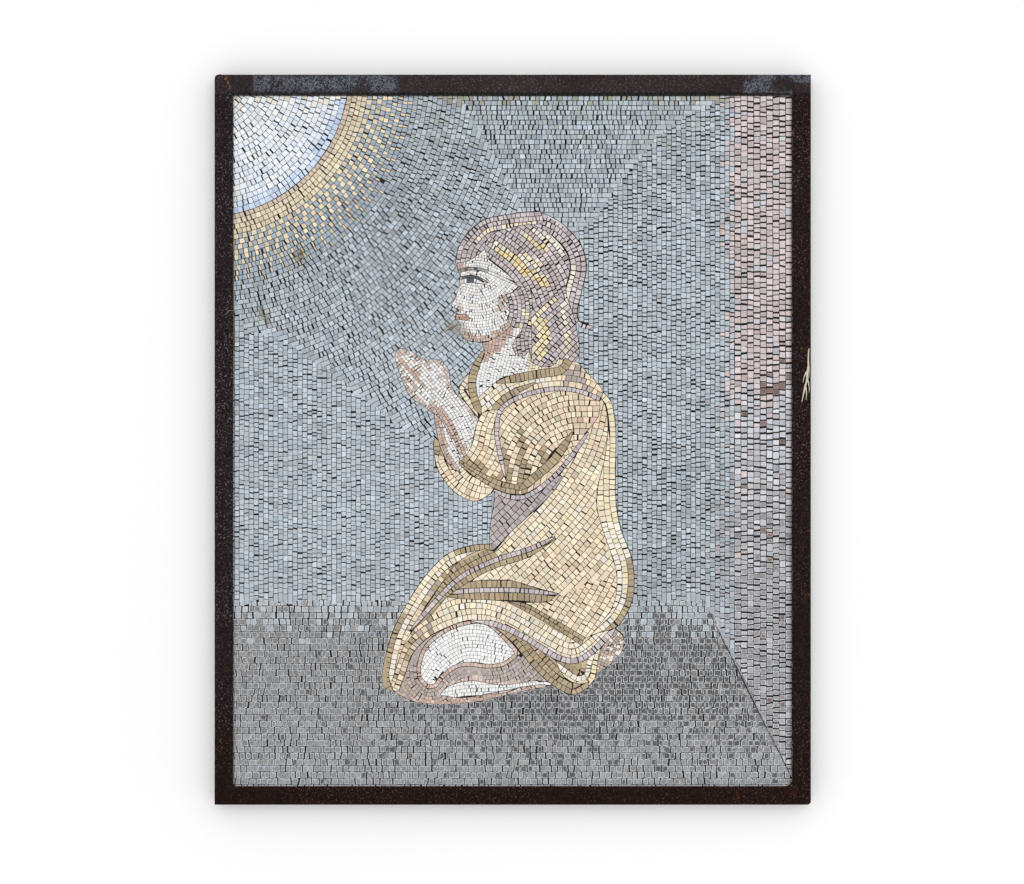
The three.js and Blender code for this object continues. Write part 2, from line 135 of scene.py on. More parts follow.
STAINS = [  # x, z, reach and strength of the dirty spots on the picture
    (-350, 303, 12, 0.5),
    (-411, 205, 16, 0.4),
    (-99, 185, 12, 0.55),
    (-83, 178, 9, 0.5),
    (-470, 40, 20, 0.25),
    (90, 150, 30, 0.18),
    (-420, 545, 30, 0.1),
    (337, -411, 6, 0.5),
    (311, -443, 6, 0.4),
    (334, -466, 6, 0.5),
]
DIRT = (124, 112, 92)
HAZE = (226, 229, 232)  # the pale film left round stones by the last wipe of grout
SOIL = (96, 90, 82)  # what gathers low in the joints
FRAME_SHADOW = (17, 14, 14)  # painted shadow of the frame on the stones beside it, near black
BRIGHTEST = 253.0


def stone_colour(name, x, z):
    """One stone of a named colour, as it happened to be cut and as dirty as its place makes it."""
    base, stray = STONES[name]
    shade = 1 + rng.gauss(0, stray) / 200 + 0.03 * noise.noise(Vector((x * 0.012, z * 0.012, 7.7)))
    warm = rng.gauss(0.0, 1.4)
    colour = [base[0] * shade + warm, base[1] * shade, base[2] * shade - warm]
    grime = 0.05 * (1 + noise.noise(Vector((x * 0.006, z * 0.006, 3.1))))
    for sx, sz, reach, strength in STAINS:
        away = math.hypot(x - sx, z - sz) / reach
        grime = max(grime, strength * math.exp(-away * away))
    mixed = [c + (d - c) * grime for c, d in zip(colour, DIRT)]
    return linear([min(BRIGHTEST, max(0.0, c)) for c in mixed])


# ---- outlines and cutting


def outlines(node):
    """The closed lines round the front of a field's plate, with the field on their left."""
    mesh = NODES[node].data
    front = min(v.co.y for v in mesh.vertices) + 1e-5
    edges = set()
    for face in mesh.polygons:
        corners = [mesh.vertices[i].co for i in face.vertices]
        if max(c.y for c in corners) > front:
            continue
        places = [(round(c.x / MM, 2), round(c.z / MM, 2)) for c in corners]
        for a, b in zip(places, places[1:] + places[:1]):
            if (b, a) in edges:
                edges.remove((b, a))
            else:
                edges.add((a, b))
    follows = dict(sorted(edges))
    loops = []
    while follows:
        start = next(iter(follows))
        loop, place = [start], follows.pop(start)
        while place != start:
            loop.append(place)
            place = follows.pop(place)
        loops.append(np.array(loop))
    return sorted(loops, key=len, reverse=True)


def cut(stone, a, b):
    """The part of a convex stone on the left of the line from a to b."""
    dx, dz = b[0] - a[0], b[1] - a[1]
    sides = [dx * (z - a[1]) - dz * (x - a[0]) for x, z in stone]
    if min(sides) >= 0:
        return stone
    if max(sides) <= 0:
        return []
    kept = []
    for i, (here, side) in enumerate(zip(stone, sides)):
        last, other = stone[i - 1], sides[i - 1]
        if (side > 0) != (other > 0):
            t = other / (other - side)
            kept.append((last[0] + (here[0] - last[0]) * t, last[1] + (here[1] - last[1]) * t))
        if side > 0:
            kept.append(here)
    return kept


def area(stone):
    return sum(a[0] * b[1] - b[0] * a[1] for a, b in zip(stone, stone[1:] + stone[:1])) / 2


def crosses(stone, a, b):
    """Whether the stretch from a to b passes through a convex stone."""
    start, end = 0.0, 1.0
    for (px, pz), (qx, qz) in zip(stone, stone[1:] + stone[:1]):
        ex, ez = qx - px, qz - pz
        from_a = ex * (a[1] - pz) - ez * (a[0] - px)
        from_b = ex * (b[1] - pz) - ez * (b[0] - px)
        if from_a < 0 and from_b < 0:
            return False
        if from_a < 0:
            start = max(start, from_a / (from_a - from_b))
        elif from_b < 0:
            end = min(end, from_a / (from_a - from_b))
    return start < end


BLENDED = [  # fields that run into each other without a ruled joint, the one laid first named first
    ("sky_arcs", "sky_rows"),
    ("sky_arcs", "sky_right"),
    ("sky_arcs", "sky_left"),
    ("sky_rows", "sky_right"),
    ("sky_right", "side_wall"),
    ("sky_right", "floor"),
    ("sky_left", "floor"),
    ("robe_body", "robe_skirt"),
]
border_stones = {}  # whole stones lying across a blended border, by the 16 mm square they are in


class Field:
    """The outline of one field, ready to cut stones to.

    Where two fields of background meet, stones are left whole across the border and those of the
    field laid later are cut round them."""

    def __init__(self, node):
        self.loops = outlines(node)
        self.a = np.concatenate(self.loops)
        self.b = np.concatenate([np.roll(loop, -1, axis=0) for loop in self.loops])
        self.low = self.a.min(0)
        self.high = self.a.max(0)
        self.soft = np.zeros(len(self.a), bool)
        self.least = 0.22
        for pair in BLENDED:
            if node in pair:
                self.soften(np.concatenate(outlines(pair[1 - pair.index(node)])))
            if node == pair[1]:
                self.least = 0.02

    def soften(self, other):
        """Marks the stretches that run along another field's outline."""
        a, b = other, np.roll(other, -1, axis=0)
        for i, place in enumerate((self.a + self.b) / 2):
            t = ((place - a) * (b - a)).sum(1) / np.maximum(((b - a) ** 2).sum(1), 1e-9)
            nearest = a + (b - a) * np.clip(t, 0, 1)[:, None]
            if np.hypot(*(nearest - place).T).min() < 1.2:
                self.soft[i] = True

    def nearby(self, stone):
        """Which stretches of the outline come near a stone."""
        middle = np.mean(stone, axis=0)
        reach = max(math.hypot(x - middle[0], z - middle[1]) for x, z in stone)
        along = self.b - self.a
        t = ((middle - self.a) * along).sum(1) / np.maximum((along * along).sum(1), 1e-9)
        nearest = self.a + along * np.clip(t, 0, 1)[:, None]
        return list(np.nonzero(np.hypot(*(nearest - middle).T) < reach)[0])

    def holds(self, place):
        """Whether a place is inside the field."""
        x, z = place
        over = (self.a[:, 1] > z) != (self.b[:, 1] > z)
        a, b = self.a[over], self.b[over]
        meets = a[:, 0] + (z - a[:, 1]) / (b[:, 1] - a[:, 1]) * (b[:, 0] - a[:, 0])
        return (meets > x).sum() % 2 == 1

    def split(self, stone, lines):
        """A stone taken apart along those of the lines that pass through it."""
        waiting = [(stone, lines)]
        pieces = []
        while waiting:
            piece, lines = waiting.pop()
            while lines and len(piece) > 2:
                i = lines.pop()
                if crosses(piece, self.a[i], self.b[i]):
                    waiting.append((cut(piece, self.b[i], self.a[i]), list(lines)))
                    piece = cut(piece, self.a[i], self.b[i])
            if len(piece) > 2 and area(piece) > 0.4:
                pieces.append(piece)
        return pieces

    def share(self, stone, lines=None):
        """How much of a stone lies inside the field."""
        pieces = self.split(stone, self.nearby(stone) if lines is None else lines)
        inside = [area(piece) for piece in pieces if self.holds(np.mean(piece, axis=0))]
        return sum(inside) / max(area(stone), 1e-6)

    def parts(self, stone):
        """The convex parts of a stone that belong to the field."""
        lines = self.nearby(stone)
        blended = [i for i in lines if self.soft[i]]
        if not blended:
            return [p for p in self.split(stone, lines) if self.holds(np.mean(p, axis=0))]
        kept = []
        for piece in self.split(stone, [i for i in lines if not self.soft[i]]):
            if self.share(piece, list(lines)) < self.least:
                continue
            x, z = np.mean(piece, axis=0)
            square = (int(x // 16), int(z // 16))
            pieces = [piece]
            for other in neighbours(square):
                pieces = [part for piece in pieces for part in beside(piece, other)]
            pieces = [piece for piece in pieces if area(piece) > 4.0 and thickness(piece) > 1.2]
            border_stones.setdefault(square, []).extend(pieces)
            kept += pieces
        return kept


def neighbours(square):
    for i in (-1, 0, 1):
        for j in (-1, 0, 1):
            yield from border_stones.get((square[0] + i, square[1] + j), [])


def beside(stone, other):
    """The convex parts of a stone left over when another lies over some of it."""
    lines = []
    for a, b in zip(other, other[1:] + other[:1]):
        long = math.dist(a, b)
        if long < 0.3:
            continue
        away = ((b[1] - a[1]) / long * 0.5, (a[0] - b[0]) / long * 0.5)
        lines.append(((a[0] + away[0], a[1] + away[1]), (b[0] + away[0], b[1] + away[1])))
    if any(not cut(stone, a, b) for a, b in lines):
        return [stone]
    parts = []
    while lines and len(stone) > 2:
        a, b = max(lines, key=lambda line: area(cut(stone, line[1], line[0])))
        lines.remove((a, b))
        outside = cut(stone, b, a)
        if len(outside) > 2:
            parts.append(outside)
        stone = cut(stone, a, b)
    return parts


# ---- laying courses


def smooth(points, step=2.0):
    """Closely spaced places along the smooth line through a few points."""
    ends = [points[0]] + list(points) + [points[-1]]
    places = []
    for p0, p1, p2, p3 in zip(ends, ends[1:], ends[2:], ends[3:]):
        p0, p1, p2, p3 = (np.array(p, float) for p in (p0, p1, p2, p3))
        count = max(1, round(float(np.hypot(*(p2 - p1))) / step))
        for t in np.arange(count) / count:
            v0, v1 = (p2 - p0) / 2, (p3 - p1) / 2
            places.append(
                (2 * p1 - 2 * p2 + v0 + v1) * t**3 + (3 * p2 - 3 * p1 - 2 * v0 - v1) * t**2 + v0 * t + p1
            )
    places.append(np.array(points[-1], float))
    return np.array(places)


def extended(line, by=120.0, step=4.0):
    """The line, carried straight on at both ends."""
    reach = np.arange(step, by, step)[:, None]
    before = line[0] - line[min(3, len(line) - 1)]
    after = line[-1] - line[max(-4, -len(line))]
    before /= np.hypot(*before)
    after /= np.hypot(*after)
    return np.concatenate([(line[0] + before * reach)[::-1], line, line[-1] + after * reach])


def left_of(line):
    """Unit normals to the left all along a line."""
    along = np.gradient(line, axis=0)
    along /= np.maximum(np.hypot(*along.T), 1e-9)[:, None]
    return np.stack([-along[:, 1], along[:, 0]], axis=1)


def wave(travel, size):
    """The slight wander of a joint line laid by hand."""
    total = np.zeros_like(travel)
    for _ in range(3):
        total += np.sin(travel * rng.uniform(0.03, 0.11) + rng.uniform(0, 6.3))
    return total * size / 3


def bedded(stone, joint, gaps):
    """The stone with its share of the mortar joints taken off every side.

    Its first and third sides run along the course; gaps is the chance of a wide gap at an end."""
    edges = list(zip(stone, stone[1:] + stone[:1]))
    for i, (a, b) in enumerate(edges):
        dx, dz = b[0] - a[0], b[1] - a[1]
        long = math.hypot(dx, dz)
        if long < 1e-6:
            continue
        gap = joint * rng.uniform(0.25, 0.65)
        if i % 2 and rng.random() < gaps:
            gap += rng.uniform(0.4, 1.5)
        shift = (-dz / long * gap, dx / long * gap)
        stone = cut(stone, (a[0] + shift[0], a[1] + shift[1]), (b[0] + shift[0], b[1] + shift[1]))
        if len(stone) < 3:
            return []
    return stone


def chipped(stone, size):
    """The stone with one of its corners nipped off, size mm along both sides."""
    i = rng.randrange(len(stone))
    corner, before, after = stone[i], stone[i - 1], stone[(i + 1) % len(stone)]
    ends = []
    for other in (before, after):
        long = math.hypot(other[0] - corner[0], other[1] - corner[1])
        t = min(0.3, size / max(long, 1e-6))
        ends.append((corner[0] + (other[0] - corner[0]) * t, corner[1] + (other[1] - corner[1]) * t))
    return stone[:i] + ends + stone[i + 1 :]


def lay(node, along, course, stone, colours, joint=0.95, gaps=0.12, start=0.0, ragged=0.45, closed=False):
    """Stones for one field, in courses side by side along a line.

    course is the width of a course; stone is the length of a stone, or a function of the course's
    number that gives its first place and a repeating list of lengths and colours. colours is a
    colour's name or a function of place and course that gives one. Course 0 begins at the line
    itself, or start mm to its left."""
    field = Field(node)
    if closed:
        line = smooth(np.concatenate([along, along[:1]]))
    else:
        line = extended(smooth(along))
    normal = left_of(line)
    away = np.hypot(*(field.a[:, None, :] - line[None, :, :]).transpose(2, 0, 1))
    nearest = away.argmin(1)
    side = ((field.a - line[nearest]) * normal[nearest]).sum(1)
    signed = np.sign(side) * away.min(1)
    first = math.floor((signed.min() - start) / course) - 1
    last = math.ceil((signed.max() - start) / course) + 1
    travel = travelled(line)
    laid = []
    lower = line + normal * (start + first * course + wave(travel, ragged))[:, None]
    for k in range(first, last):
        upper = line + normal * (start + (k + 1) * course + wave(travel, ragged))[:, None]
        middle = (lower + upper) / 2
        inside = ((middle > field.low - course) & (middle < field.high + course)).all(1)
        if callable(stone):
            laid += one_course(field, lower, upper, stone(k), colours, joint, gaps, k)
        elif inside.any():
            span = np.nonzero(inside)[0]
            a, b = max(span[0] - 3, 0), min(span[-1] + 4, len(line))
            pattern = (-rng.random() * stone, [(stone, None)])
            laid += one_course(field, lower[a:b], upper[a:b], pattern, colours, joint, gaps, k)
        lower = upper
    return laid


def travelled(line):
    return np.concatenate([[0], np.cumsum(np.hypot(*np.diff(line, axis=0).T))])


def at(line, travel, place):
    return (float(np.interp(place, travel, line[:, 0])), float(np.interp(place, travel, line[:, 1])))


def one_course(field, lower, upper, pattern, colours, joint, gaps, k):
    """Stones cut to length between the two joint lines of course k, slivers joined to a neighbour."""
    travel = travelled((lower + upper) / 2)
    place, lengths = pattern
    ends, names, skews = [place], [], [0.0]
    while ends[-1] < travel[-1]:
        length, name = lengths[len(names) % len(lengths)]
        if name is None:
            vary = min(1.45, max(0.66, rng.gauss(1.0, 0.16)))
        else:
            vary = 1.0
            ends[-1] += rng.gauss(0, 0.35)
        ends.append(ends[-1] + length * vary)
        skews.append(rng.gauss(0, 0.4))
        names.append(name)
    blocks = []
    for start, end, skew, next_skew, name in zip(ends, ends[1:], skews, skews[1:], names):
        corners = [
            at(lower, travel, start - skew),
            at(lower, travel, end - next_skew),
            at(upper, travel, end + next_skew),
            at(upper, travel, start + skew),
        ]
        whole = area(corners)
        if whole < 2.0:
            continue
        share = field.share(corners)
        if share > 0.01:
            blocks.append([corners, share, name])
    joined = []
    for block in blocks:
        small = block[1] < SLIVER
        last = joined[-1] if joined else None
        touching = last and math.dist(last[0][1], block[0][0]) < 0.01
        if touching and last[2] == block[2] and (small or last[1] < SLIVER) and last[1] + block[1] < 1.6:
            last[0] = [last[0][0], block[0][1], block[0][2], last[0][3]]
            last[1] += block[1]
        else:
            joined.append(list(block))
    laid = []
    size = math.dist(lower[0], upper[0])
    for corners, share, name in joined:
        piece = bedded(corners, joint, gaps)
        if len(piece) < 3:
            continue
        for part in field.parts(piece):
            if area(part) < LEAST_STONE * size * size or thickness(part) < 0.9:
                continue
            if rng.random() < 0.25:
                part = chipped(part, rng.uniform(0.5, 1.4))
            x, z = np.mean(part, axis=0)
            kind = name or (colours(x, z, k) if callable(colours) else colours)
            laid.append((part, stone_colour(kind, x, z)))
    return laid


def thickness(stone):
    """The least width of a stone, near enough."""
    longest = max(math.dist(a, b) for a, b in zip(stone, stone[1:] + stone[:1]))
    return area(stone) / longest


# ---- making the pieces


def is_front(face):
    return face.normal.y < -0.8


def edit_mode():
    bpy.ops.object.mode_set(mode="EDIT")


def object_mode():
    bpy.ops.object.mode_set(mode="OBJECT")


def new_object(name, data):
    """An object put in the scene, selected and active."""
    made = bpy.data.objects.new(name, data)
    bpy.context.collection.objects.link(made)
    bpy.context.view_layer.objects.active = made
    made.select_set(True)
    return made


def face_outwards():
    """Turns all faces of the mesh in edit mode outwards."""
    bpy.ops.mesh.select_all(action="SELECT")
    bpy.ops.mesh.normals_make_consistent(inside=False)


def add_piece(name, node, stones, finish, rim):
    """One field's stones as a mesh: flat outlines, drawn back into the mortar, with worn edges."""
    points, faces, tints, seeds = [], [], [], []
    for outline, colour in stones:
        x0, z0 = np.mean(outline, axis=0)
        lift, lean_x, lean_z = rng.gauss(0, LIFT), rng.gauss(0, LEAN), rng.gauss(0, LEAN)
        seed = rng.random()
        faces.append(list(range(len(points), len(points) + len(outline))))
        for x, z in outline:
            y = FACE_Y + 0.5 + lift + lean_x * (x - x0) + lean_z * (z - z0)
            points.append((x * MM, y * MM, z * MM))
            tints.extend((*colour, 1.0))
            seeds.append(seed)
    mesh = bpy.data.meshes.new(name)
    mesh.from_pydata(points, [], faces)
    mesh.attributes.new("tint", "FLOAT_COLOR", "POINT").data.foreach_set("color", tints)
    mesh.attributes.new("seed", "FLOAT", "POINT").data.foreach_set("value", seeds)
    piece = new_object(name, mesh)
    edit_mode()
    bpy.ops.mesh.select_all(action="SELECT")
    bpy.ops.mesh.extrude_region_move(TRANSFORM_OT_translate={"value": (0, STONE_DEPTH * MM, 0)})
    face_outwards()
    bpy.ops.mesh.select_all(action="DESELECT")
    object_mode()
    mesh.polygons.foreach_set("select", [is_front(f) for f in mesh.polygons])
    edit_mode()
    bpy.ops.mesh.inset(thickness=rim * MM, depth=WORN * MM, use_individual=True)
    object_mode()
    edge = np.ones(len(mesh.vertices))
    for face in mesh.polygons:
        if is_front(face) and face.select:
            edge[list(face.vertices)] = 0.0
    mesh.attributes.new("edge", "FLOAT", "POINT").data.foreach_set("value", edge)
    piece.select_set(False)
    mesh.materials.append(FINISHES[finish])
    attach(piece, "root")
    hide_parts(node)


# ---- finishes


def put(tree, kind, settings=None, **inputs):
    """Adds a shader node. Inputs are given by socket name, or in_0, in_1 for a numbered one."""
    made = tree.nodes.new("ShaderNode" + kind)
    for key, value in (settings or {}).items():
        setattr(made, key, value)
    for key, value in inputs.items():
        socket = made.inputs[int(key[3:])] if key.startswith("in_") else made.inputs[key.replace("_", " ")]
        if isinstance(value, bpy.types.NodeSocket):
            tree.links.new(value, socket)
        else:
            socket.default_value = value
    return made


def maths(tree, operation, a, b=0.0):
    return put(tree, "Math", {"operation": operation}, in_0=a, in_1=b).outputs[0]


def times(tree, a, b):
    return maths(tree, "MULTIPLY", a, b)


def larger(tree, a, b):
    return maths(tree, "MAXIMUM", a, b)


def spread_over(tree, value, low, high, to_low=0.0, to_high=1.0):
    made = put(tree, "MapRange", {"interpolation_type": "SMOOTHSTEP"}, Value=value, From_Min=low,
               From_Max=high, To_Min=to_low, To_Max=to_high)
    return made.outputs["Result"]


def mixed(tree, share, first, second, blend="MIX"):
    made = put(tree, "Mix", {"data_type": "RGBA", "blend_type": blend}, in_0=share, in_6=first, in_7=second)
    return made.outputs[2]


def speckle(tree, where, scale, detail=4.0, rough=0.6, distortion=0.0):
    made = put(tree, "TexNoise", None, Vector=where, Scale=scale, Detail=detail, Roughness=rough,
               Distortion=distortion)
    return made.outputs["Fac"]


def new_finish(name):
    finish = bpy.data.materials.new(name)
    finish.use_nodes = True
    tree = finish.node_tree
    return finish, tree, tree.nodes["Principled BSDF"]


def coordinates(tree):
    """Where a point of the object is, and its x and z alone."""
    where = put(tree, "TexCoord").outputs["Object"]
    split = put(tree, "SeparateXYZ", None, Vector=where)
    return where, split.outputs["X"], split.outputs["Z"]


def attribute(tree, name, output="Fac"):
    return put(tree, "Attribute", {"attribute_name": name}).outputs[output]


def give_surface(tree, shader, colour, roughness, gloss, height, strength, distance):
    """Joins colour, roughness and bumps to the shader; roughness may be a number."""
    tree.links.new(colour, shader.inputs["Base Color"])
    if isinstance(roughness, float):
        shader.inputs["Roughness"].default_value = roughness
    else:
        tree.links.new(roughness, shader.inputs["Roughness"])
    shader.inputs["Specular IOR Level"].default_value = gloss
    bump = put(tree, "Bump", None, Strength=strength, Distance=distance, Height=height)
    tree.links.new(bump.outputs["Normal"], shader.inputs["Normal"])


def solid_colour(colour):
    return (*linear(colour), 1.0)


def between(tree, share, first, second):
    """From one solid colour to another."""
    return mixed(tree, share, solid_colour(first), solid_colour(second))


def stone_finish(name, grain=0.1, veins=0.06, roughness=0.72, haze=0.0, haze_low=0.0, soil=0.5):
    """Cut stone: grain and soft clouds that differ from stone to stone, with soiled edges.

    haze is how much of the pale film is left on the rims everywhere, and haze_low how much more
    there is towards the lower right of the panel. The stones beside the frame carry its painted shadow."""
    finish, tree, shader = new_finish(name)
    where, x, z = coordinates(tree)
    seed, edge = attribute(tree, "seed"), attribute(tree, "edge")
    tint = attribute(tree, "tint", "Color")
    shift = put(tree, "CombineXYZ", None, X=times(tree, seed, 7.3), Y=seed, Z=times(tree, seed, 3.9))
    place = put(tree, "VectorMath", {"operation": "ADD"}, in_0=where, in_1=shift.outputs[0]).outputs[0]
    fine = speckle(tree, place, 700.0, 3.0)
    cloud = speckle(tree, place, 150.0, 5.0, 0.55, 1.2)
    light = times(tree, spread_over(tree, fine, 0.3, 0.7, 1 - grain, 1 + grain * 0.8),
                  spread_over(tree, cloud, 0.32, 0.68, 1 - veins, 1 + veins))
    grey = put(tree, "CombineColor", None, Red=light, Green=light, Blue=light).outputs[0]
    base = mixed(tree, 1.0, tint, grey, "MULTIPLY")
    low = times(tree, spread_over(tree, z, -0.34, 0.02, haze_low, 0.0),
                spread_over(tree, x, 0.02, 0.34))
    rim = times(tree, spread_over(tree, edge, 0.12, 0.6),
                spread_over(tree, cloud, 0.36, 0.62, 0.25, 1.0))
    filmed = mixed(tree, times(tree, rim, maths(tree, "ADD", low, haze)), base, solid_colour(HAZE))
    soiled = mixed(tree, spread_over(tree, edge, 0.8, 1.0, 0.0, soil), filmed, solid_colour(SOIL))
    # painted shadow: a dark strip on the stones under the top rail and along the inner edge of each stile,
    # where the frame's shadow falls
    painted_stile_shadow = larger(tree, spread_over(tree, x, 0.4535, 0.4595, 0.0, 0.55),
                           spread_over(tree, x, -0.4595, -0.4575, 0.5, 0.0))
    painted_frame_shadow = larger(tree, spread_over(tree, z, 0.5636, 0.5662, 0.0, 0.97), painted_stile_shadow)
    give_surface(tree, shader, mixed(tree, painted_frame_shadow, soiled, solid_colour(FRAME_SHADOW)),
                 spread_over(tree, fine, 0.3, 0.7, roughness - 0.08, roughness + 0.1), 0.3,
                 maths(tree, "ADD", fine, times(tree, cloud, 1.5)), 0.35, 0.0007)
    return finish


def mortar_finish(name, dark, pale):
    """Sandy cement mortar, unevenly dark."""
    finish, tree, shader = new_finish(name)
    where = coordinates(tree)[0]
    sand = speckle(tree, where, 1100.0, 3.0, 0.7)
    damp = speckle(tree, where, 14.0, 5.0, 0.6)
    share = maths(tree, "ADD", times(tree, sand, 0.5), spread_over(tree, damp, 0.35, 0.65, 0.0, 0.5))
    give_surface(tree, shader, between(tree, share, dark, pale), 0.95, 0.2,
                 maths(tree, "ADD", sand, damp), 0.6, 0.001)
    return finish


def soft_box(tree, x, z, x0, x1, z0, z1, soft):
    """1 inside a box across the front of the panel, falling to 0 over a soft margin, in metres."""
    inside = 1.0
    for value, low, high in ((x, x0, x1), (z, z0, z1)):
        inside = times(tree, spread_over(tree, value, low - soft, low + soft), inside)
        inside = times(tree, spread_over(tree, value, high - soft, high + soft, 1.0, 0.0), inside)
    return inside


def steel_finish():
    """Dark brown paint on steel angle, specked all over, rustier below, worn to grey in patches."""
    finish, tree, shader = new_finish("painted_steel")
    where, x, z = coordinates(tree)
    fine = speckle(tree, where, 420.0, 3.0, 0.7)
    specks = speckle(tree, where, 330.0, 2.0, 0.5, 0.4)
    blotch = speckle(tree, where, 45.0, 6.0, 0.65, 0.6)
    broad = speckle(tree, where, 6.0, 4.0, 0.6)
    flaked = speckle(tree, where, 24.0, 7.0, 0.7, 0.3)
    upper = between(tree, spread_over(tree, fine, 0.35, 0.68), (5, 1, 2), (44, 33, 36))
    lower = between(tree, spread_over(tree, fine, 0.35, 0.7), (4, 0, 0), (36, 16, 10))
    rustier = larger(tree, spread_over(tree, z, -0.57, -0.3, 1.0, 0.0),
                     spread_over(tree, x, 0.3, 0.47, 0.0, 0.7))
    dust = times(tree, spread_over(tree, specks, 0.57, 0.66, 0.0, 0.8),
                 spread_over(tree, broad, 0.35, 0.6, 0.2, 1.0))
    dusty = mixed(tree, dust, mixed(tree, rustier, upper, lower),
                  between(tree, rustier, (112, 106, 108), (94, 64, 50)))
    fade = times(tree, spread_over(tree, z, 0.566, 0.574, 0.0, 0.45),
                 spread_over(tree, broad, 0.35, 0.6, 0.5, 1.0))
    faded = mixed(tree, fade, dusty, solid_colour((62, 54, 55)))
    rusty = mixed(tree, spread_over(tree, blotch, 0.6, 0.7, 0.0, 0.5), faded, solid_colour((66, 36, 24)))
    top, side = HALF_Z * MM, HALF_X * MM
    patches = larger(tree, soft_box(tree, x, z, -0.425, -0.19, top - 0.027, top - 0.001, 0.005),
                     soft_box(tree, x, z, side - 0.11, side + 0.004, top - 0.034, top + 0.004, 0.004))
    weld = larger(tree, soft_box(tree, x, z, 0.459, 0.6, 0.5, 0.587, 0.002),
                  times(tree, soft_box(tree, x, z, 0.424, 0.457, 0.571, 0.587, 0.004), 0.75))
    worn = times(tree, times(tree, patches, maths(tree, "SUBTRACT", 1.0, weld)),
                 spread_over(tree, flaked, 0.41, 0.47, 0.1, 1.0))
    bare = between(tree, spread_over(tree, fine, 0.38, 0.66), (30, 29, 35), (112, 115, 126))
    give_surface(tree, shader, mixed(tree, worn, rusty, bare),
                 spread_over(tree, blotch, 0.35, 0.65, 0.5, 0.72), 0.1,
                 maths(tree, "ADD", fine, times(tree, blotch, 2.0)), 0.4, 0.0012)
    return finish


FINISHES = {
    "stone_blue_grey": stone_finish("blue_grey_stone", 0.12, 0.06, haze=0.3, haze_low=0.6, soil=0.35),
    "stone_pink_grey": stone_finish("pink_grey_stone", 0.12, 0.08, haze=0.25, haze_low=0.75, soil=0.35),
    "stone_warm_grey": stone_finish("hazed_grey_stone", 0.15, 0.1, 0.8, 0.95, 0.1, soil=0.2),
    "stone_white": stone_finish("white_marble", 0.04, 0.03, 0.62),
    "stone_cream": stone_finish("cream_stone", 0.06, 0.05),
    "stone_yellow": stone_finish("yellow_stone", 0.06, 0.05),
    "stone_olive": stone_finish("olive_stone", 0.1, 0.09),
    "stone_mauve": stone_finish("mauve_stone", 0.09, 0.07),
    "stone_rose": stone_finish("rose_stone", 0.09, 0.08),
    "stone_slate": stone_finish("slate_stone", 0.12, 0.08),
    "joint": mortar_finish("dark_joint_mortar", (24, 22, 22), (56, 53, 50)),
    "mortar": mortar_finish("cement_back", (118, 116, 112), (152, 150, 145)),
    "painted_steel": steel_finish(),
    "drip": mortar_finish("old_cream_paint", (206, 196, 172), (232, 226, 208)),
    "root": mortar_finish("dried_root", (92, 78, 56), (150, 134, 100)),
    "rust": mortar_finish("rust", (62, 34, 18), (150, 104, 58)),
    "pale_joint": mortar_finish("pale_joint_mortar", (140, 140, 140), (206, 206, 206)),
    "dirt": mortar_finish("dried_dirt", (84, 62, 44), (140, 112, 82)),
}


# ---- sky, sun, wall and floor


def circle(radius):
    """An arc about the sun's centre, taken anticlockwise so that its left side is inwards."""
    return [
        (SUN[0] + radius * math.cos(a), SUN[1] + radius * math.sin(a)) for a in np.linspace(-1.9, 0.4, 60)
    ]


def from_sun(x, z):
    return math.hypot(x - SUN[0], z - SUN[1])


def clamp(value):
    return max(0.0, min(1.0, value))


def some(chance, name, other):
    return name if rng.random() < chance else other


def near(x, z, *line):
    """How far a place is from a line through a few points."""
    best = 1e9
    for (ax, az), (bx, bz) in zip(line, line[1:]):
        dx, dz = bx - ax, bz - az
        t = clamp(((x - ax) * dx + (z - az) * dz) / (dx * dx + dz * dz))
        best = min(best, math.hypot(x - ax - dx * t, z - az - dz * t))
    return best


def stroke(x, z, strokes):
    """The colour of the first stroke that a place lies in, or None.

    A stroke is half its width, the chance of its colour, the colour, the other one and its line."""
    for reach, chance, name, other, line in strokes:
        if near(x, z, *line) < reach:
            return name if chance == 1 else some(chance, name, other)
    return None


def sun_colours(x, z, k):
    away = from_sun(x, z)
    if z > 548 and rng.random() < (z - 544) / 26:
        return some(0.6, "sun_stained", "sun")
    if away > SUN_DISC - 8 or (away > SUN_DISC - 16 and rng.random() < 0.6):
        return "sun_edge"
    return some(min(0.8, max(0.1, (away - 60) / 200)), "sun_blue", "sun")


RAY_COURSE = 8.4
PLAIN_RAY_COURSES = 4
RAYS_APART = math.radians(3.3)


def ray_course(k):
    """Rays: cream and blue stones by turns, in staggered courses, the cream narrowing outwards."""
    out = -k - 1
    apart = RAYS_APART * (SUN_DISC + (out + 0.5) * RAY_COURSE)
    if out < PLAIN_RAY_COURSES:
        name = "ray_rim" if out == 0 else "ray"
        return -rng.random() * 8, [(8.2, name), (9.0, name), (7.8, name)]
    cream = apart * (0.6 - 0.048 * (out - PLAIN_RAY_COURSES))
    blue = (apart - cream) / 2
    between = [(blue * 2, "ray_blue")] if blue < 5.0 else [(blue, "ray_blue"), (blue, "ray_blue")]
    name = rng.choice(["ray", "ray", "ray", "cream"])
    return -cream / 2 - (out % 2) * apart / 2, [(cream, name)] + between


def sky_colours(x, z, k):
    """The sky: dimmer about the sun, at the top and at the lower right, stained along the top."""
    dim = 0.25 * clamp((x - 120) / 120) * clamp((200 - z) / 300)
    dim += 0.45 * clamp((SUN_RAYS + 260 - from_sun(x, z)) / 240)
    dim += 0.3 * clamp((z - 330) / 120)
    if z > 552 and x > -240 and rng.random() < 0.2 + (z - 552) / 30:
        return some(0.7, "sky_stained", "sky_dark")
    if z > 480 and x > -240 and rng.random() < (z - 460) / 180:
        return "sky_green"
    return some(dim, "sky_dark", "sky")


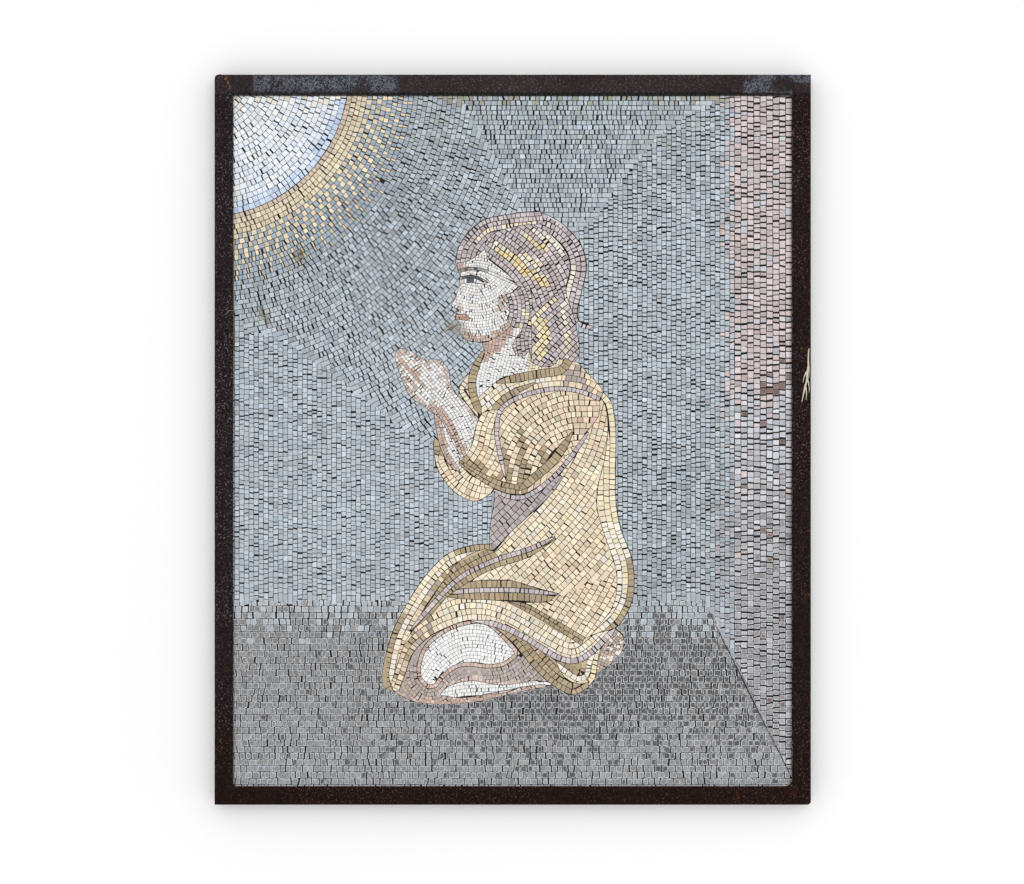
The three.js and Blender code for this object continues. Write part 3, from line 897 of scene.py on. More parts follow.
def right_sky_colours(x, z, k):
    """The sky on the right, where the pink of the wall begins in ragged columns."""
    if z > 70 and x > WALL_X - 22 and rng.random() < (x - WALL_X + 24) / 30:
        return some(0.75, "wall_pink", "wall_pale")
    if z < 70 and x > WALL_X - 30 and rng.random() < 0.35:
        return "wall_pale" if z > -40 else "wall_mid"
    if z < -60 and rng.random() < min(0.75, (-60 - z) / 260):
        return "sky_dark"
    return sky_colours(x, z, k)


def wall_colours(x, z, k):
    """The side wall: pink above, then pale grey with scattered brown stones, dimmer below."""
    if 20 < z < 150 and x > 380 and rng.random() < 0.16 * math.exp(-(((z - 70) / 60) ** 2)):
        return "brown"
    if z > 75 + 25 * math.sin(x * 0.5):
        return some(0.93, "wall_pink", "wall_pale")
    if -120 < z < 60 and rng.random() < 0.02:
        return "brown"
    if rng.random() < max(0.0, min(0.95, (-20 - z) / 200)):
        if rng.random() < 0.035:
            return "brown"
        return some(max(0.15, min(0.8, (-40 - z) / 380)), "wall_dim", "wall_mid")
    return some(0.93, "wall_pale", "wall_pink")


def floor_colours(x, z, k):
    """The floor: sky colour where it meets the sky, then warm grey, darkest about the child."""
    depth = FLOOR_Z - z
    if rng.random() > depth / 70:
        return "floor_blue" if x < 100 else "sky_dark"
    shadow = math.exp(-(((x - 60) / 230) ** 2) - (((z + 400) / 110) ** 2))
    far_side = 0.8 * clamp((x - 120) / 80) * clamp((z + 560) / 130)
    if rng.random() < max(shadow * 1.1, far_side):
        return "floor_dark"
    return some((depth - 120) / 160, "floor_low", "floor_warm")


# ---- colours of the child


LOCKS = [
    (7.5, 0.75, "gold", "yellow", [(-17, 306), (1, 294), (21, 277), (44, 266), (54, 258)]),
    (7, 0.65, "pale", "yellow", [(-26, 318), (-4, 304), (26, 296), (44, 284)]),
    (5, 0.6, "gold", "yellow", [(22, 332), (44, 318), (56, 312)]),
    (7, 1, "pale", None, [(40, 340), (66, 324), (80, 308)]),
    (5, 1, "cream", None, [(66, 231), (41, 203), (30, 190)]),
    (5, 1, "pale", None, [(100, 286), (92, 252), (84, 214)]),
    (11, 0.75, "yellow", "gold", [(49, 193), (51, 168), (42, 142)]),
    (8, 0.6, "cream", "mauve", [(84, 211), (91, 178), (89, 148)]),
    (6, 0.7, "cream", "mauve", [(29, 241), (23, 216), (15, 192)]),
]
SHADES_OF_SKIN = [  # along the jaw, at the wing of the nose and on the cheek
    (7, 0.6, "salmon", "rosy", [(-80, 168), (-44, 163), (-14, 180), (4, 200)]),
    (3, 1, "rosy", None, [(-88, 217), (-85, 218)]),
    (12, 0.6, "rosy", "skin", [(-20, 222), (-8, 232)]),
]
SHADES_OF_HAND = [  # from wrist to elbow, round the edges and between the fingers
    (7, 0.75, "salmon", "rosy", [(-134, 54), (-113, 41), (-97, 10), (-82, -19)]),
    (6, 0.7, "rosy", "skin", [(-193, 141), (-182, 99), (-168, 71), (-148, 57)]),
    (6, 0.7, "rosy", "skin", [(-184, 150), (-155, 137), (-118, 129), (-103, 95), (-79, 62), (-58, 36)]),
    (2.8, 0.8, "salmon", "taupe", [(-186, 134), (-160, 108), (-146, 90)]),
    (2.6, 1, "rosy", None, [(-176, 104), (-156, 84)]),
]


def hair_colours(x, z, k):
    """Mauve hair with cream and yellow locks."""
    return stroke(x, z, LOCKS) or some(0.8, "mauve", "mauve_dim")


def fringe_colours(x, z, k):
    """The fringe: mauve, with a cream strand along its under side."""
    if k == -3 and -62 < x < 40:
        return some(0.85, "cream", "mauve")
    if k == -2 and -30 < x < 45:
        return some(0.3, "rosy", "mauve")
    return some(0.8, "mauve", "mauve_dim")


def brow_colours(x, z, k):
    if -80 < x < -54:
        return some(0.35, "slate", "grey")
    return "grey" if x < -40 else "skin"


def lid_colours(x, z, k):
    return "slate" if -82 < x < -50 else "taupe"


def eye_colours(x, z, k):
    if -74 < x < -65:
        return "slate"
    return "white" if -82 < x < -56 else "skin"


def face_colours(x, z, k):
    shade = stroke(x, z, SHADES_OF_SKIN)
    if shade:
        return shade
    if x < -84 and z < 215:
        return some(0.4, "rosy", "skin")
    return some(0.6, "white", "skin")


def brow_skin_colours(x, z, k):
    return some(0.8, "salmon", "rosy") if x < -80 else some(0.8, "white", "skin")


def neck_colours(x, z, k):
    """Neck: shaded under the jaw, then a salmon band, then white down to the collar."""
    if x > 26:
        return "cream"
    if near(x, z, (-8, 182), (-27, 156), (-46, 138)) < 10:
        return some(0.8, "salmon", "rosy")
    return "taupe" if z > max(140, 132 + 1.1 * (x + 40)) and x < -12 else "white"


def hand_colours(x, z, k):
    shade = stroke(x, z, SHADES_OF_HAND)
    if shade:
        return shade
    if z > 75 and rng.random() < 0.35:
        return some(0.6, "rosy", "pale")
    return some(0.7, "white", "skin")


def far_arm_colours(x, z, k):
    if near(x, z, (-124, 34), (-117, 0), (-107, -32), (-96, -48)) < 6:
        return some(0.75, "salmon", "rosy")
    return "white"


def far_sleeve_colours(x, z, k):
    return "olive" if z > -28 else some(0.8, "cream", "peach")


def cuff_colours(x, z, k):
    """The cuff: cream along the arm and the seam, peach between, olive folds at the bottom."""
    if near(x, z, (-88, -37), (-53, -60), (-21, -77)) < 17 and x > -78:
        return some(0.8, "olive", "peach")
    if k in (0, -1) or near(x, z, (-35, 40), (-37, 0), (-22, -66)) < 7:
        return some(0.8, "cream", "yellow")
    return some(0.75, "peach", "cream")


SLEEVE_FOLDS = [
    [(14, 21), (15, -78)],
    [(-13, -16), (-6, -70)],
    [(52, 6), (54, -50)],
    [(32, -36), (26, -72)],
]


def puff_colours(x, z, k):
    """The full sleeve: cream and peach, with olive folds that rise to points."""
    for fold in SLEEVE_FOLDS:
        top = fold[0][1]
        if near(x, z, *fold) < min(8.0, 2.0 + 0.14 * max(0.0, top - z)):
            return "olive"
    if near(x, z, (130, 62), (129, 38), (112, 18)) < 15:
        return some(0.85, "peach", "salmon")
    if near(x, z, (20, -85), (60, -55), (105, -5)) < 6:
        return "peach"
    return some(0.4, "peach", "cream")


def yoke_colours(x, z, k):
    if near(x, z, (100, 100), (130, 82)) < 20:
        return some(0.45, "taupe", "peach")
    return some(0.5, "pale", "cream") if x < 60 else some(0.6, "cream", "peach")


def body_colours(x, z, k):
    drift = noise.noise(Vector((x * 0.012, z * 0.012, 9.0)))
    if drift > 0.12:
        return some(0.55, "peach", "cream")
    return some(0.75, "cream", some(0.5, "yellow", "pale"))


def skirt_colours(x, z, k):
    return some(0.5, "peach", "cream")


def back_colours(x, z, k):
    """The robe's back edge: yellow, white further in, olive where it turns under."""
    out = -k - 1 if k < 0 else k
    if z < -195 and out == 0:
        return "olive"
    if z < -140 and out == 1:
        return some(0.5, "pale", "yellow")
    if z < -140:
        return "pale"
    return some(0.75, "yellow", "cream")


def front_colours(x, z, k):
    """The robe over the knee: an olive outer course, then cream and peach."""
    out = -k - 1 if k < 0 else k
    if out == 0 and (z < -285 or x > -92):
        return "olive"
    if out == 0:
        return "cream"
    if out == 1:
        return some(0.6, "pale", "cream")
    if z > -320 and rng.random() < 0.4:
        return some(0.5, "taupe", "olive")
    return some(0.8, "peach", "cream")


def hem_colours(x, z, k):
    if x < -130 and rng.random() < 0.45:
        return some(0.6, "olive", "taupe")
    if x < -120:
        return some(0.7, "peach", "cream")
    return some(0.7, "cream", "pale")


def flap_colours(x, z, k):
    out = -k - 1 if k < 0 else k
    return ("yellow", "pale", "olive", "olive")[min(out, 3)]


def leg_colours(x, z, k):
    if near(x, z, (-119, -420), (-105, -405), (-68, -394), (-17, -401), (76, -401)) < 6:
        return "rosy"
    if z < -405 and near(x, z, (-164, -430), (-113, -434), (-56, -430), (14, -414), (74, -402)) < 8:
        return some(0.7, "salmon", "rosy")
    if x < -160 and z < -400:
        return some(0.5, "salmon", "taupe")
    return some(0.7, "taupe", "mauve_dim")


def rim_colours(x, z, k):
    return some(0.5, "salmon", "rosy")


def foot_colours(x, z, k):
    return some(0.5, "taupe", some(0.6, "salmon", "pale"))


# ---- the fields

FOLD_UPPER = [(-167, -312), (-130, -269), (-85, -226), (-28, -198), (28, -180), (69, -160)]
FOLD_LOWER = [(-106, -252), (-60, -248), (10, -248), (73, -254)]
FOLD_BACK = [(-8, -266), (26, -278), (74, -306), (116, -331)]
HEM = [(-187, -412), (-177, -385), (-164, -351), (-136, -323), (-90, -301), (-56, -297), (-20, -306),
       (40, -340), (76, -359), (102, -364), (129, -350), (167, -312)]
HEM_LINE = [(-68, -298), (-28, -304), (14, -322), (51, -345), (76, -359), (102, -364), (129, -350),
            (168, -311)]
HEM_EDGE = [(-31, -308), (0, -334), (28, -368), (57, -397), (82, -414), (102, -420), (124, -408)]
KNEE = [(-200, -428), (-212, -398), (-211, -368), (-198, -317), (-175, -272), (-141, -221),
        (-105, -187), (-68, -174), (-36, -172)]
BACK = [(150, 76), (162, 62), (169, 23), (169, -56), (169, -99), (178, -147), (197, -201), (198, -258),
        (181, -297), (165, -314)]
SEAM = [(143, 67), (112, 79), (78, 84), (39, 79), (0, 65), (-21, 47), (-26, 23), (-25, -3), (-13, -60)]
TEMPLE = [(-54, 318), (-8, 284), (22, 246), (40, 196)]
BLUE, WHITE, CREAM, YELLOW = "stone_blue_grey", "stone_white", "stone_cream", "stone_yellow"
OLIVE, MAUVE, ROSE, SLATE = "stone_olive", "stone_mauve", "stone_rose", "stone_slate"

# node: finish, line that the courses follow, width of a course, length of a stone, colours, extras
FIELDS = {
    "sun_disc": (WHITE, circle(SUN_DISC), 9.0, 9.4, sun_colours, {"joint": 0.75, "gaps": 0.3}),
    "sun_rays": (YELLOW, circle(SUN_DISC), RAY_COURSE, ray_course, "ray", {"gaps": 0.2}),
    "sky_arcs": (BLUE, circle(SUN_RAYS), 8.0, 8.4, sky_colours, {"joint": 1.0, "gaps": 0.35, "rim": 0.8}),
    "sky_rows": (BLUE, [(-200, 350), (400, 350)], 8.0, 8.2, sky_colours,
                 {"joint": 1.1, "gaps": 0.3, "rim": 0.8}),
    "sky_right": (BLUE, [(WALL_X, -400), (WALL_X, 600)], 8.0, 8.2, right_sky_colours,
                  {"joint": 1.05, "gaps": 0.4, "rim": 0.9}),
    "sky_left": (BLUE, [(-466, -300), (-466, 300)], 8.0, 8.2, sky_colours, {"gaps": 0.25, "rim": 0.8}),
    "side_wall": ("stone_pink_grey", [(WALL_X, -600), (WALL_X, 600)], 10.5, 9.6, wall_colours,
                  {"joint": 1.2, "gaps": 0.6, "rim": 1.6}),
    "floor": ("stone_warm_grey", [(-500, FLOOR_Z), (500, FLOOR_Z)], 10.5, 9.8, floor_colours,
              {"joint": 1.2, "gaps": 0.3, "rim": 1.5}),
    "hair_fringe": (MAUVE, [(-94, 291), (-85, 324), (-52, 359), (-4, 371), (45, 376)], 7.6, 7.2,
                    fringe_colours, {"joint": 1.1, "gaps": 0.2}),
    "hair_back": (MAUVE, [(36, 377), (79, 357), (111, 322), (121, 284), (113, 244), (106, 209), (112, 193),
                          (134, 186)], 8.4, 7.6, hair_colours, {"joint": 1.25, "gaps": 0.2}),
    "hair_locks": (MAUVE, [(20, 138), (66, 190), (112, 230)], 8.2, 7.8, hair_colours,
                   {"joint": 1.25, "gaps": 0.2}),
    "hair_side": (MAUVE, [(10, 256), (20, 230), (20, 200), (12, 165), (18, 130)], 6.6, 6.4, hair_colours,
                  {"joint": 1.0, "gaps": 0.2}),
    "hair_main": (MAUVE, TEMPLE, 7.8, 7.4, hair_colours, {"joint": 1.25, "gaps": 0.2}),
    "forehead": (WHITE, [(-89, 276), (-69, 281), (-43, 278), (6, 256)], 4.7, 4.8, brow_skin_colours,
                 {"joint": 0.5}),
    "eyebrow": (SLATE, [(-89, 276.3), (-69, 281.3), (-43, 277.3), (6, 255.3)], 5.0, 5.4, brow_colours,
                {"joint": 0.5, "start": -2.5, "ragged": 0.1}),
    "eyelid": (SLATE, [(-87, 265.6), (-69, 268.6), (-53, 264.6), (-41, 258.6)], 5.0, 4.2, lid_colours,
               {"joint": 0.5, "start": -2.5, "ragged": 0.1}),
    "eye": (WHITE, [(-87, 259.6), (-69, 262.6), (-55, 259.6), (-46, 255.6)], 8.0, 4.0, eye_colours,
            {"joint": 0.5, "start": -4.0, "ragged": 0.1}),
    "lips": (ROSE, [(-93, 201.7), (-83, 201.7), (-71, 199.7)], 4.6, 5.0, "lip",
             {"joint": 0.5, "ragged": 0.1}),
    "cheek": (WHITE, [(-104, 214), (-60, 204), (-20, 214), (14, 244)], 4.8, 4.8, face_colours,
              {"joint": 0.5}),
    "neck": (WHITE, [(-40, 190), (-46, 150), (-58, 105), (-60, 70)], 5.2, 5.0, neck_colours, {"joint": 0.5}),
    "hand_and_forearm": (WHITE, [(-196, 150), (-150, 96), (-100, 40), (-68, -30)], 5.3, 5.4, hand_colours,
                         {"joint": 0.65, "gaps": 0.12}),
    "far_forearm": (ROSE, [(-130, 44), (-119, -5), (-92, -52)], 5.2, 5.4, far_arm_colours, {"joint": 0.5}),
    "far_sleeve": (CREAM, [(-129, 6), (-130, -14), (-132, -40), (-104, -84), (-60, -108), (0, -112)],
                   10.5, 7.2, far_sleeve_colours, {}),
    "sleeve_seam": (MAUVE, SEAM, 8.0, 7.4, "mauve", {"start": -4.0}),
    "sleeve_line": (MAUVE, [(-32, -82), (-12, -92), (14, -95), (42, -82), (84, -43), (124, 12)], 9.0, 7.6,
                    "mauve", {"start": -4.5}),
    "sleeve_edge_low": (OLIVE, [(-88, -37), (-53, -60.5), (-21, -77), (12, -83)], 8.6, 8.4, "olive", {}),
    "sleeve_edge_right": (OLIVE, [(10, -83), (31, -66), (68, -33), (98, 12)], 15.0, 9.0, "olive",
                          {"start": -7.5}),
    "sleeve_cuff": (CREAM, [(-48, 50), (-60, 23), (-67, -8), (-84, -34)], 9.0, 8.8, cuff_colours, {}),
    "sleeve_puff": (CREAM, [(-46, -110), (-30, -20), (10, 45), (75, 80), (140, 84)], 9.4, 9.0, puff_colours,
                    {"gaps": 0.2}),
    "collar_far": (OLIVE, [(-47, 147), (-61, 120), (-67, 95), (-64, 70), (-53, 42)], 14.0, 8.0, "olive",
                   {"start": -7.0}),
    "collar_near": (OLIVE, [(92, 131), (79, 114), (48, 109), (4, 101), (-27, 94)], 15.0, 7.8, "olive",
                    {"start": -7.5}),
    "collar_strap": (OLIVE, [(-36, 43), (-16, 66), (8, 81), (36, 93)], 12.0, 8.0, "olive", {"start": -6.0}),
    "chest_far": (CREAM, [(-57, 130), (-76, 104), (-89, 83), (-80, 66), (-57, 36)], 8.4, 8.0, "cream", {}),
    "yoke": (CREAM, [(-60, 20), (-28, 46), (0, 67), (40, 81), (78, 86), (112, 81), (144, 66)], 9.4, 8.8,
             yoke_colours, {"start": 2.0}),
    "robe_body": (CREAM, [(-70, -235), (0, -170), (70, -95), (118, -20), (140, 60)], 9.4, 9.2, body_colours,
                  {}),
    "robe_skirt": (CREAM, [(160, -40), (166, -140), (146, -230), (96, -310)], 9.4, 9.0, skirt_colours, {}),
    "robe_shadow": (MAUVE, [(-31, -181), (28, -123), (90, -50)], 9.8, 9.6, "mauve_dim", {}),
    "robe_front": (CREAM, KNEE, 9.4, 9.0, front_colours, {}),
    "back_edge": (YELLOW, BACK, 9.8, 9.2, back_colours, {}),
    "fold_upper_line": (MAUVE, FOLD_UPPER, 9.0, 8.4, "mauve", {"start": -4.5}),
    "fold_upper_top": (OLIVE, FOLD_UPPER, 9.0, 8.6, "olive", {"start": 4.0}),
    "fold_upper_low": (OLIVE, FOLD_UPPER, 12.0, 8.6, "olive", {"start": -4.0}),
    "fold_lower_line": (MAUVE, FOLD_LOWER, 9.0, 8.0, "mauve", {"start": -4.5}),
    "fold_lower_top": (OLIVE, FOLD_LOWER, 12.0, 8.6, "olive", {"start": 4.0}),
    "fold_lower_low": (OLIVE, FOLD_LOWER, 13.0, 8.6, "olive", {"start": -4.0}),
    "fold_back": (OLIVE, FOLD_BACK, 9.6, 8.8, "olive", {}),
    "hem_band": (CREAM, HEM, 9.6, 8.6, hem_colours, {}),
    "hem_line": (MAUVE, HEM_LINE, 11.0, 8.4, "mauve", {"start": -5.5}),
    "hem_edge": (OLIVE, HEM_EDGE, 9.4, 9.0, "olive", {}),
    "flap": (YELLOW, [(79, -392), (104, -407), (126, -402), (136, -390), (139, -371), (148, -345)], 9.0, 8.4,
             flap_colours, {}),
    "leg": (MAUVE, None, 6.2, 6.2, leg_colours, {"joint": 0.5, "closed": True}),
    "thigh_rim": (ROSE, None, 6.6, 6.2, rim_colours, {"joint": 0.5, "closed": True}),
    "thigh_light": (WHITE, [(-150, -400), (-118, -358), (-70, -336), (6, -350)], 6.0, 6.2, "white",
                    {"joint": 0.5}),
    "shin_light": (WHITE, [(-122, -418), (-80, -410), (-17, -408), (76, -403)], 6.0, 6.0, "white",
                   {"joint": 0.5}),
    "foot": (ROSE, [(150, -312), (176, -335), (168, -368)], 5.4, 5.2, foot_colours, {"joint": 0.5}),
}


def lay_fields():
    for node, (finish, line, course, stone, colours, extras) in FIELDS.items():
        extras = dict(extras)
        rim = extras.pop("rim", 0.45)
        if line is None:
            line = outlines("thigh_rim" if node == "leg" else "thigh_light")[0]
        stones = lay(node, line, course, stone, colours, **extras)
        add_piece(node + "_stones", node, stones, finish, rim)


lay_fields()


# ---- mortar, frame and small things


def joint_mortar():
    """The mortar seen in the joints: a slab under the faces of the stones, uneven on top."""
    wide, high = (HALF_X - BAR + 9.0) * 2, (HALF_Z - BAR + 9.0) * 2
    bpy.ops.mesh.primitive_grid_add(x_subdivisions=150, y_subdivisions=186, size=1)
    slab = bpy.context.object
    slab.name = "joint_mortar"
    edit_mode()
    bpy.ops.mesh.extrude_region_move(TRANSFORM_OT_translate={"value": (0, 0, 1)})
    face_outwards()
    object_mode()
    front = FACE_Y + MORTAR_BELOW
    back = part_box("sky_arcs")[1].y / MM + 0.2
    low = min(v.co.z for v in slab.data.vertices)
    for v in slab.data.vertices:
        x, z = v.co.x * wide, v.co.y * high
        uneven = 0.35 * noise.noise(Vector((x * 0.11, 0.0, z * 0.11)))
        y = back if v.co.z > low + 0.5 else front + uneven
        v.co = Vector((x, y, z)) * MM
    slab.data.update()
    edit_mode()
    face_outwards()
    object_mode()
    slab.select_set(False)
    slab.data.materials.append(FINISHES["joint"])
    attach(slab, "root")


def frame_bar(node):
    """A bar of the frame with its rolled edges eased."""
    bar = new_object(node + "_bar", NODES[node].data.copy())
    edit_mode()
    bpy.ops.mesh.select_all(action="SELECT")
    bpy.ops.mesh.remove_doubles(threshold=1e-5)
    bpy.ops.mesh.dissolve_limited(angle_limit=math.radians(1))
    object_mode()
    bevel = bar.modifiers.new("eased edges", "BEVEL")
    bevel.width = 0.9 * MM
    bevel.segments = 3
    bevel.limit_method = "ANGLE"
    bevel.angle_limit = math.radians(30)
    bpy.ops.object.modifier_apply(modifier=bevel.name)
    bpy.ops.object.shade_smooth_by_angle(angle=math.radians(35))
    bar.select_set(False)
    bar.data.materials.clear()
    bar.data.materials.append(FINISHES["painted_steel"])
    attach(bar, "root")
    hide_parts(node)


def finish_piece(piece, name, finish):
    """Settles a new small piece: its place goes into its mesh, and it rides with the panel."""
    piece.name = name
    bpy.ops.object.select_all(action="DESELECT")
    piece.select_set(True)
    bpy.context.view_layer.objects.active = piece
    bpy.ops.object.transform_apply(location=True, rotation=True, scale=True)
    bpy.ops.object.shade_smooth()
    piece.select_set(False)
    piece.data.materials.clear()
    piece.data.materials.append(FINISHES[finish])
    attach(piece, "root")


def strands(name, paths, thick, finish):
    """Rounded strands along paths of (x, y, z, share of the thickness) points, as one piece."""
    line = bpy.data.curves.new(name, "CURVE")
    line.dimensions = "3D"
    line.bevel_depth = thick * MM
    line.bevel_resolution = 2
    line.resolution_u = 4
    line.use_fill_caps = True
    for path in paths:
        run = line.splines.new("NURBS")
        run.points.add(len(path) - 1)
        run.use_endpoint_u = True
        for point, (x, y, z, share) in zip(run.points, path):
            point.co = (x * MM, y * MM, z * MM, 1.0)
            point.radius = share
    new_object(name, line)
    bpy.ops.object.convert(target="MESH")
    finish_piece(bpy.context.object, name, finish)


def wander(start, end, count, sway, depth):
    """Points along a crooked path between two places, thin at both ends."""
    path = []
    for i in range(count + 1):
        t = i / count
        x = start[0] + (end[0] - start[0]) * t + rng.uniform(-sway, sway)
        z = start[1] + (end[1] - start[1]) * t + rng.uniform(-sway, sway)
        share = rng.uniform(0.5, 1.0) * (0.35 + 0.65 * math.sin(math.pi * min(0.95, max(0.05, t))))
        path.append((x, depth + rng.uniform(-0.4, 0.2), z, share))
    return path


def lumps(name, places, finish):
    """Small uneven lumps of (x, y, z, width, height, stand-out), as one piece."""
    bpy.ops.object.select_all(action="DESELECT")
    made = []
    for x, y, z, wide, high, out in places:
        bpy.ops.mesh.primitive_ico_sphere_add(subdivisions=3, radius=MM)
        lump = bpy.context.object
        for v in lump.data.vertices:
            v.co *= 1 + 0.35 * noise.noise(v.co * 1400 + Vector((x, z, 0)))
        lump.scale = (wide, out, high)
        lump.location = (x * MM, y * MM, z * MM)
        made.append(lump)
    for lump in made:
        lump.select_set(True)
    bpy.context.view_layer.objects.active = made[0]
    bpy.ops.object.join()
    finish_piece(bpy.context.object, name, finish)


def corner_weld(x, z, size):
    """A fillet of weld in an inner corner of the frame, bowed towards the corner."""
    y, sx, sz = FRAME_Y + 1.6, math.copysign(1, x), math.copysign(1, z)
    return [
        (x - sx * size, y, z + sz * 0.6, 0.5),
        (x - sx * size * 0.45, y - 0.4, z - sz * size * 0.12, 1.0),
        (x - sx * size * 0.12, y - 0.4, z - sz * size * 0.45, 1.0),
        (x + sx * 0.6, y, z - sz * size, 0.5),
    ]


def small_things():
    """Welds, a paint drip, a dried root and the bits of dirt that cling to the panel."""
    inner_x, inner_z = HALF_X - BAR, HALF_Z - BAR
    strands("corner_welds", [
        corner_weld(inner_x, -inner_z, 9.0),
        corner_weld(inner_x, inner_z, 6.0),
        corner_weld(-inner_x, inner_z, 4.0),
        corner_weld(-inner_x, -inner_z, 4.0),
    ], 1.7, "painted_steel")
    lumps("weld_spatter", [
        (inner_x + 3, FRAME_Y, inner_z + 1, 4.5, 3.2, 1.6),
        (inner_x - 4, FRAME_Y, inner_z + 4, 2.4, 1.8, 1.1),
        (HALF_X - 12, FRAME_Y, HALF_Z - 9, 2.0, 2.6, 0.9),
        (-inner_x - 9, FRAME_Y, HALF_Z - 8, 2.2, 1.6, 0.9),
        (-inner_x - 1, FRAME_Y, HALF_Z - 14, 1.2, 5.5, 0.8),
    ], "painted_steel")
    lumps("rust_spot", [
        (-471, FRAME_Y, 593, 2.6, 2.2, 0.5),
        (-468, FRAME_Y, 587, 1.2, 4.0, 0.4),
        (-465, FRAME_Y, 580, 0.9, 4.5, 0.4),
        (-481, FRAME_Y, 600, 2.2, 0.9, 0.4),
    ], "rust")
    strands("diagonal_joint", [
        wander((322, -282), (455, -549), 30, 0.5, FACE_Y + 0.1),
    ], 1.0, "joint")
    strands("diagonal_joint_edge", [
        wander((324.2, -281), (457.2, -548), 30, 0.5, FACE_Y + 0.2),
    ], 0.6, "pale_joint")
    edge_y = FRAME_Y + 1.0
    strands("paint_drip", [
        [(487, edge_y - 0.8, 150, 0.5), (485, edge_y - 2.0, 138, 0.9), (487, edge_y - 1.6, 122, 0.7),
         (483, edge_y - 2.4, 110, 1.2), (484, edge_y - 2.2, 98, 0.8), (480, edge_y - 2.6, 88, 1.1),
         (478, edge_y - 2.2, 76, 0.7), (475, edge_y - 1.8, 62, 0.3)],
        [(485, edge_y - 2.2, 128, 0.8), (488, edge_y - 1.8, 116, 0.6), (486, edge_y - 1.8, 100, 0.3)],
        [(483, edge_y - 2.4, 112, 0.8), (478, edge_y - 2.2, 104, 0.5), (477, edge_y - 1.8, 94, 0.2)],
        [(480, edge_y - 2.4, 90, 0.9), (484, edge_y - 2.0, 80, 0.5), (482, edge_y - 1.8, 66, 0.3)],
        [(484, edge_y - 2.4, 100, 0.8), (488, edge_y - 2.0, 88, 0.5), (487, edge_y - 1.6, 78, 0.2)],
    ], 1.5, "drip")
    root_y = FACE_Y - 0.4
    strands("dried_root", [
        wander((-459.4, 352), (-459.0, 232), 16, 0.8, root_y),
        wander((-458.9, 250), (-459.6, 66), 22, 0.8, root_y),
        wander((-459, 318), (-466, 322), 4, 1.5, FRAME_Y - 0.3),
        wander((-460, 214), (-472, 206), 6, 2.0, FRAME_Y - 0.3),
        wander((-350, 316), (-344, 300), 5, 1.6, root_y),
        wander((-354, 306), (-342, 310), 4, 1.6, root_y),
        wander((-352, 300), (-347, 293), 4, 1.4, root_y),
        wander((-416, 222), (-402, 186), 7, 2.4, root_y),
        wander((-420, 206), (-408, 200), 4, 2.0, root_y),
        wander((-82, 192), (-122, 174), 8, 2.0, root_y),
        wander((-95, 187), (-104, 178), 4, 1.6, root_y),
    ], 0.9, "root")
    bits = [(-349, 305, 3.0), (-347, 298, 2.2), (209, 156, 1.6), (234, 172, 1.8), (226, 40, 1.4),
            (242, 24, 1.4), (-106, 181, 2.4), (-440, -150, 1.2), (-452, 88, 1.6), (160, 60, 1.2),
            (-300, -210, 1.2)]
    lumps("stuck_dirt", [(x, FACE_Y + 0.3, z, size, size * 0.7, 0.9) for x, z, size in bits],
          "dirt")


joint_mortar()
small_things()
for bar_node in ("left_stile", "right_stile", "top_rail", "bottom_rail"):
    frame_bar(bar_node)
NODES["mortar_bed"].data.materials.clear()
NODES["mortar_bed"].data.materials.append(FINISHES["mortar"])


# ---- stage, light and camera

WALL_WIDTH, WALL_HEIGHT = 9.0, 5.0
FLOOR_LEVEL = -1.05
VIEW_WIDTH = 1.683  # how much of the panel's plane the picture's width takes in
LENS = 85.0
SENSOR = 36.0
CAMERA_X, CAMERA_Z = -0.0012, -0.0038


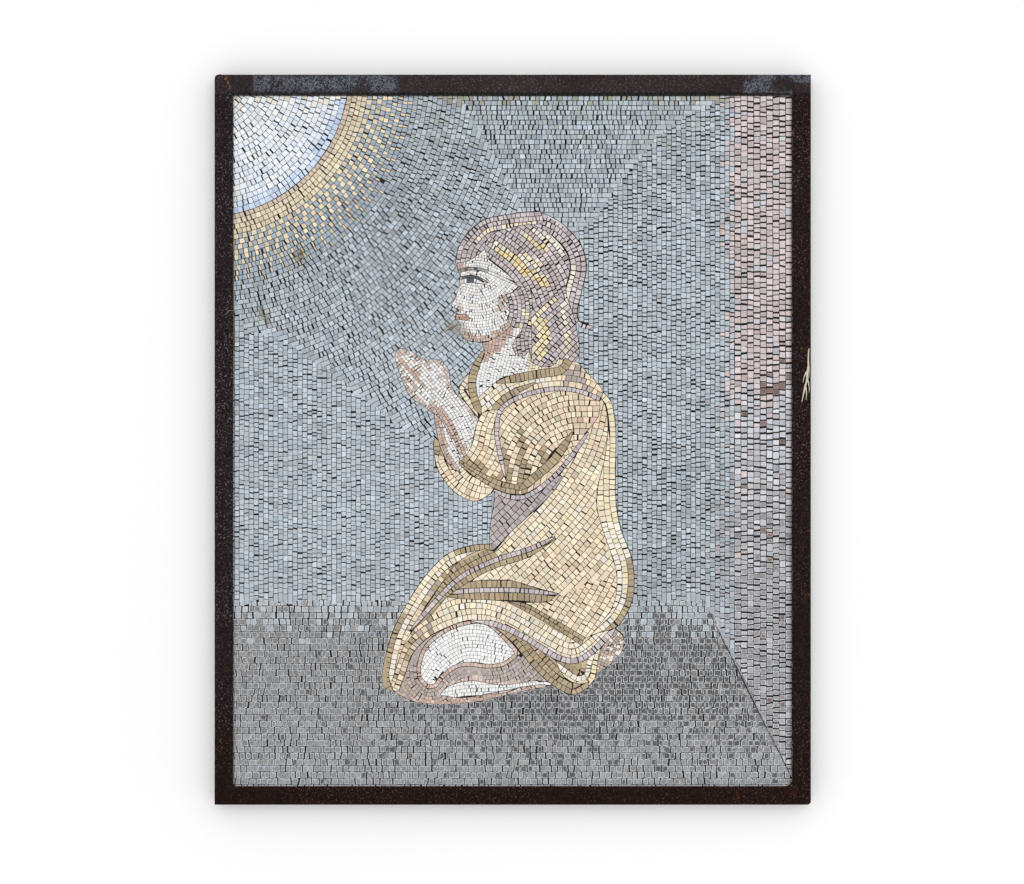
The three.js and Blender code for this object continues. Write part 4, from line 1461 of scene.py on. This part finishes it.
def stage_material(name, shade, one_sided):
    finish, tree, shader = new_finish(name)
    shader.inputs["Base Color"].default_value = (shade, shade, shade, 1.0)
    shader.inputs["Roughness"].default_value = 1.0
    shader.inputs["Specular IOR Level"].default_value = 0.0
    if one_sided:
        behind = put(tree, "NewGeometry").outputs["Backfacing"]
        clear = put(tree, "BsdfTransparent").outputs[0]
        blend = put(tree, "MixShader", None, in_0=behind, in_1=shader.outputs[0], in_2=clear)
        tree.links.new(blend.outputs[0], tree.nodes["Material Output"].inputs["Surface"])
    return finish


def add_stage():
    bpy.ops.mesh.primitive_plane_add(size=1, location=(0, 0.5, FLOOR_LEVEL))
    floor = bpy.context.object
    floor.name = "pale_floor"
    floor.scale = (WALL_WIDTH * 1.5, WALL_WIDTH * 1.5, 1)
    floor.data.materials.append(stage_material("pale_floor", 0.8, False))
    bpy.ops.mesh.primitive_plane_add(
        size=1, location=(0, 0.004, FLOOR_LEVEL + WALL_HEIGHT / 2), rotation=(math.pi / 2, 0, 0)
    )
    wall = bpy.context.object
    wall.name = "pale_wall"
    wall.scale = (WALL_WIDTH, WALL_HEIGHT, 1)
    wall.data.materials.append(stage_material("pale_wall", 0.99, True))
    for ray in ("diffuse", "glossy", "shadow", "transmission"):
        setattr(wall, "visible_" + ray, False)
    bpy.ops.object.select_all(action="DESELECT")


def add_light(name, place, size, power, target=(0, 0, 0)):
    data = bpy.data.lights.new(name, "AREA")
    data.shape = "DISK"
    data.size = size
    data.energy = power
    light = bpy.data.objects.new(name, data)
    bpy.context.collection.objects.link(light)
    light.location = place
    light.rotation_euler = (Vector(target) - Vector(place)).to_track_quat("-Z", "Y").to_euler()


def add_camera():
    data = bpy.data.cameras.new("camera")
    data.lens = LENS
    data.sensor_width = SENSOR
    camera = bpy.data.objects.new("camera", data)
    bpy.context.collection.objects.link(camera)
    distance = LENS / SENSOR * VIEW_WIDTH
    camera.location = (CAMERA_X, FRAME_Y * MM - distance, CAMERA_Z)
    camera.rotation_euler = (math.pi / 2, 0, 0)
    bpy.context.scene.camera = camera


world = bpy.data.worlds.new("studio")
world.use_nodes = True
world.node_tree.nodes["Background"].inputs["Color"].default_value = (1.0, 1.0, 1.0, 1.0)
world.node_tree.nodes["Background"].inputs["Strength"].default_value = 1.0
bpy.context.scene.world = world
bpy.context.scene.view_settings.view_transform = "Standard"
add_light("key", (0.3, -3.0, 0.8), 1.6, 8)
add_light("back_fill", (1.5, 3.5, 2.0), 2.5, 120)
add_stage()
add_camera()
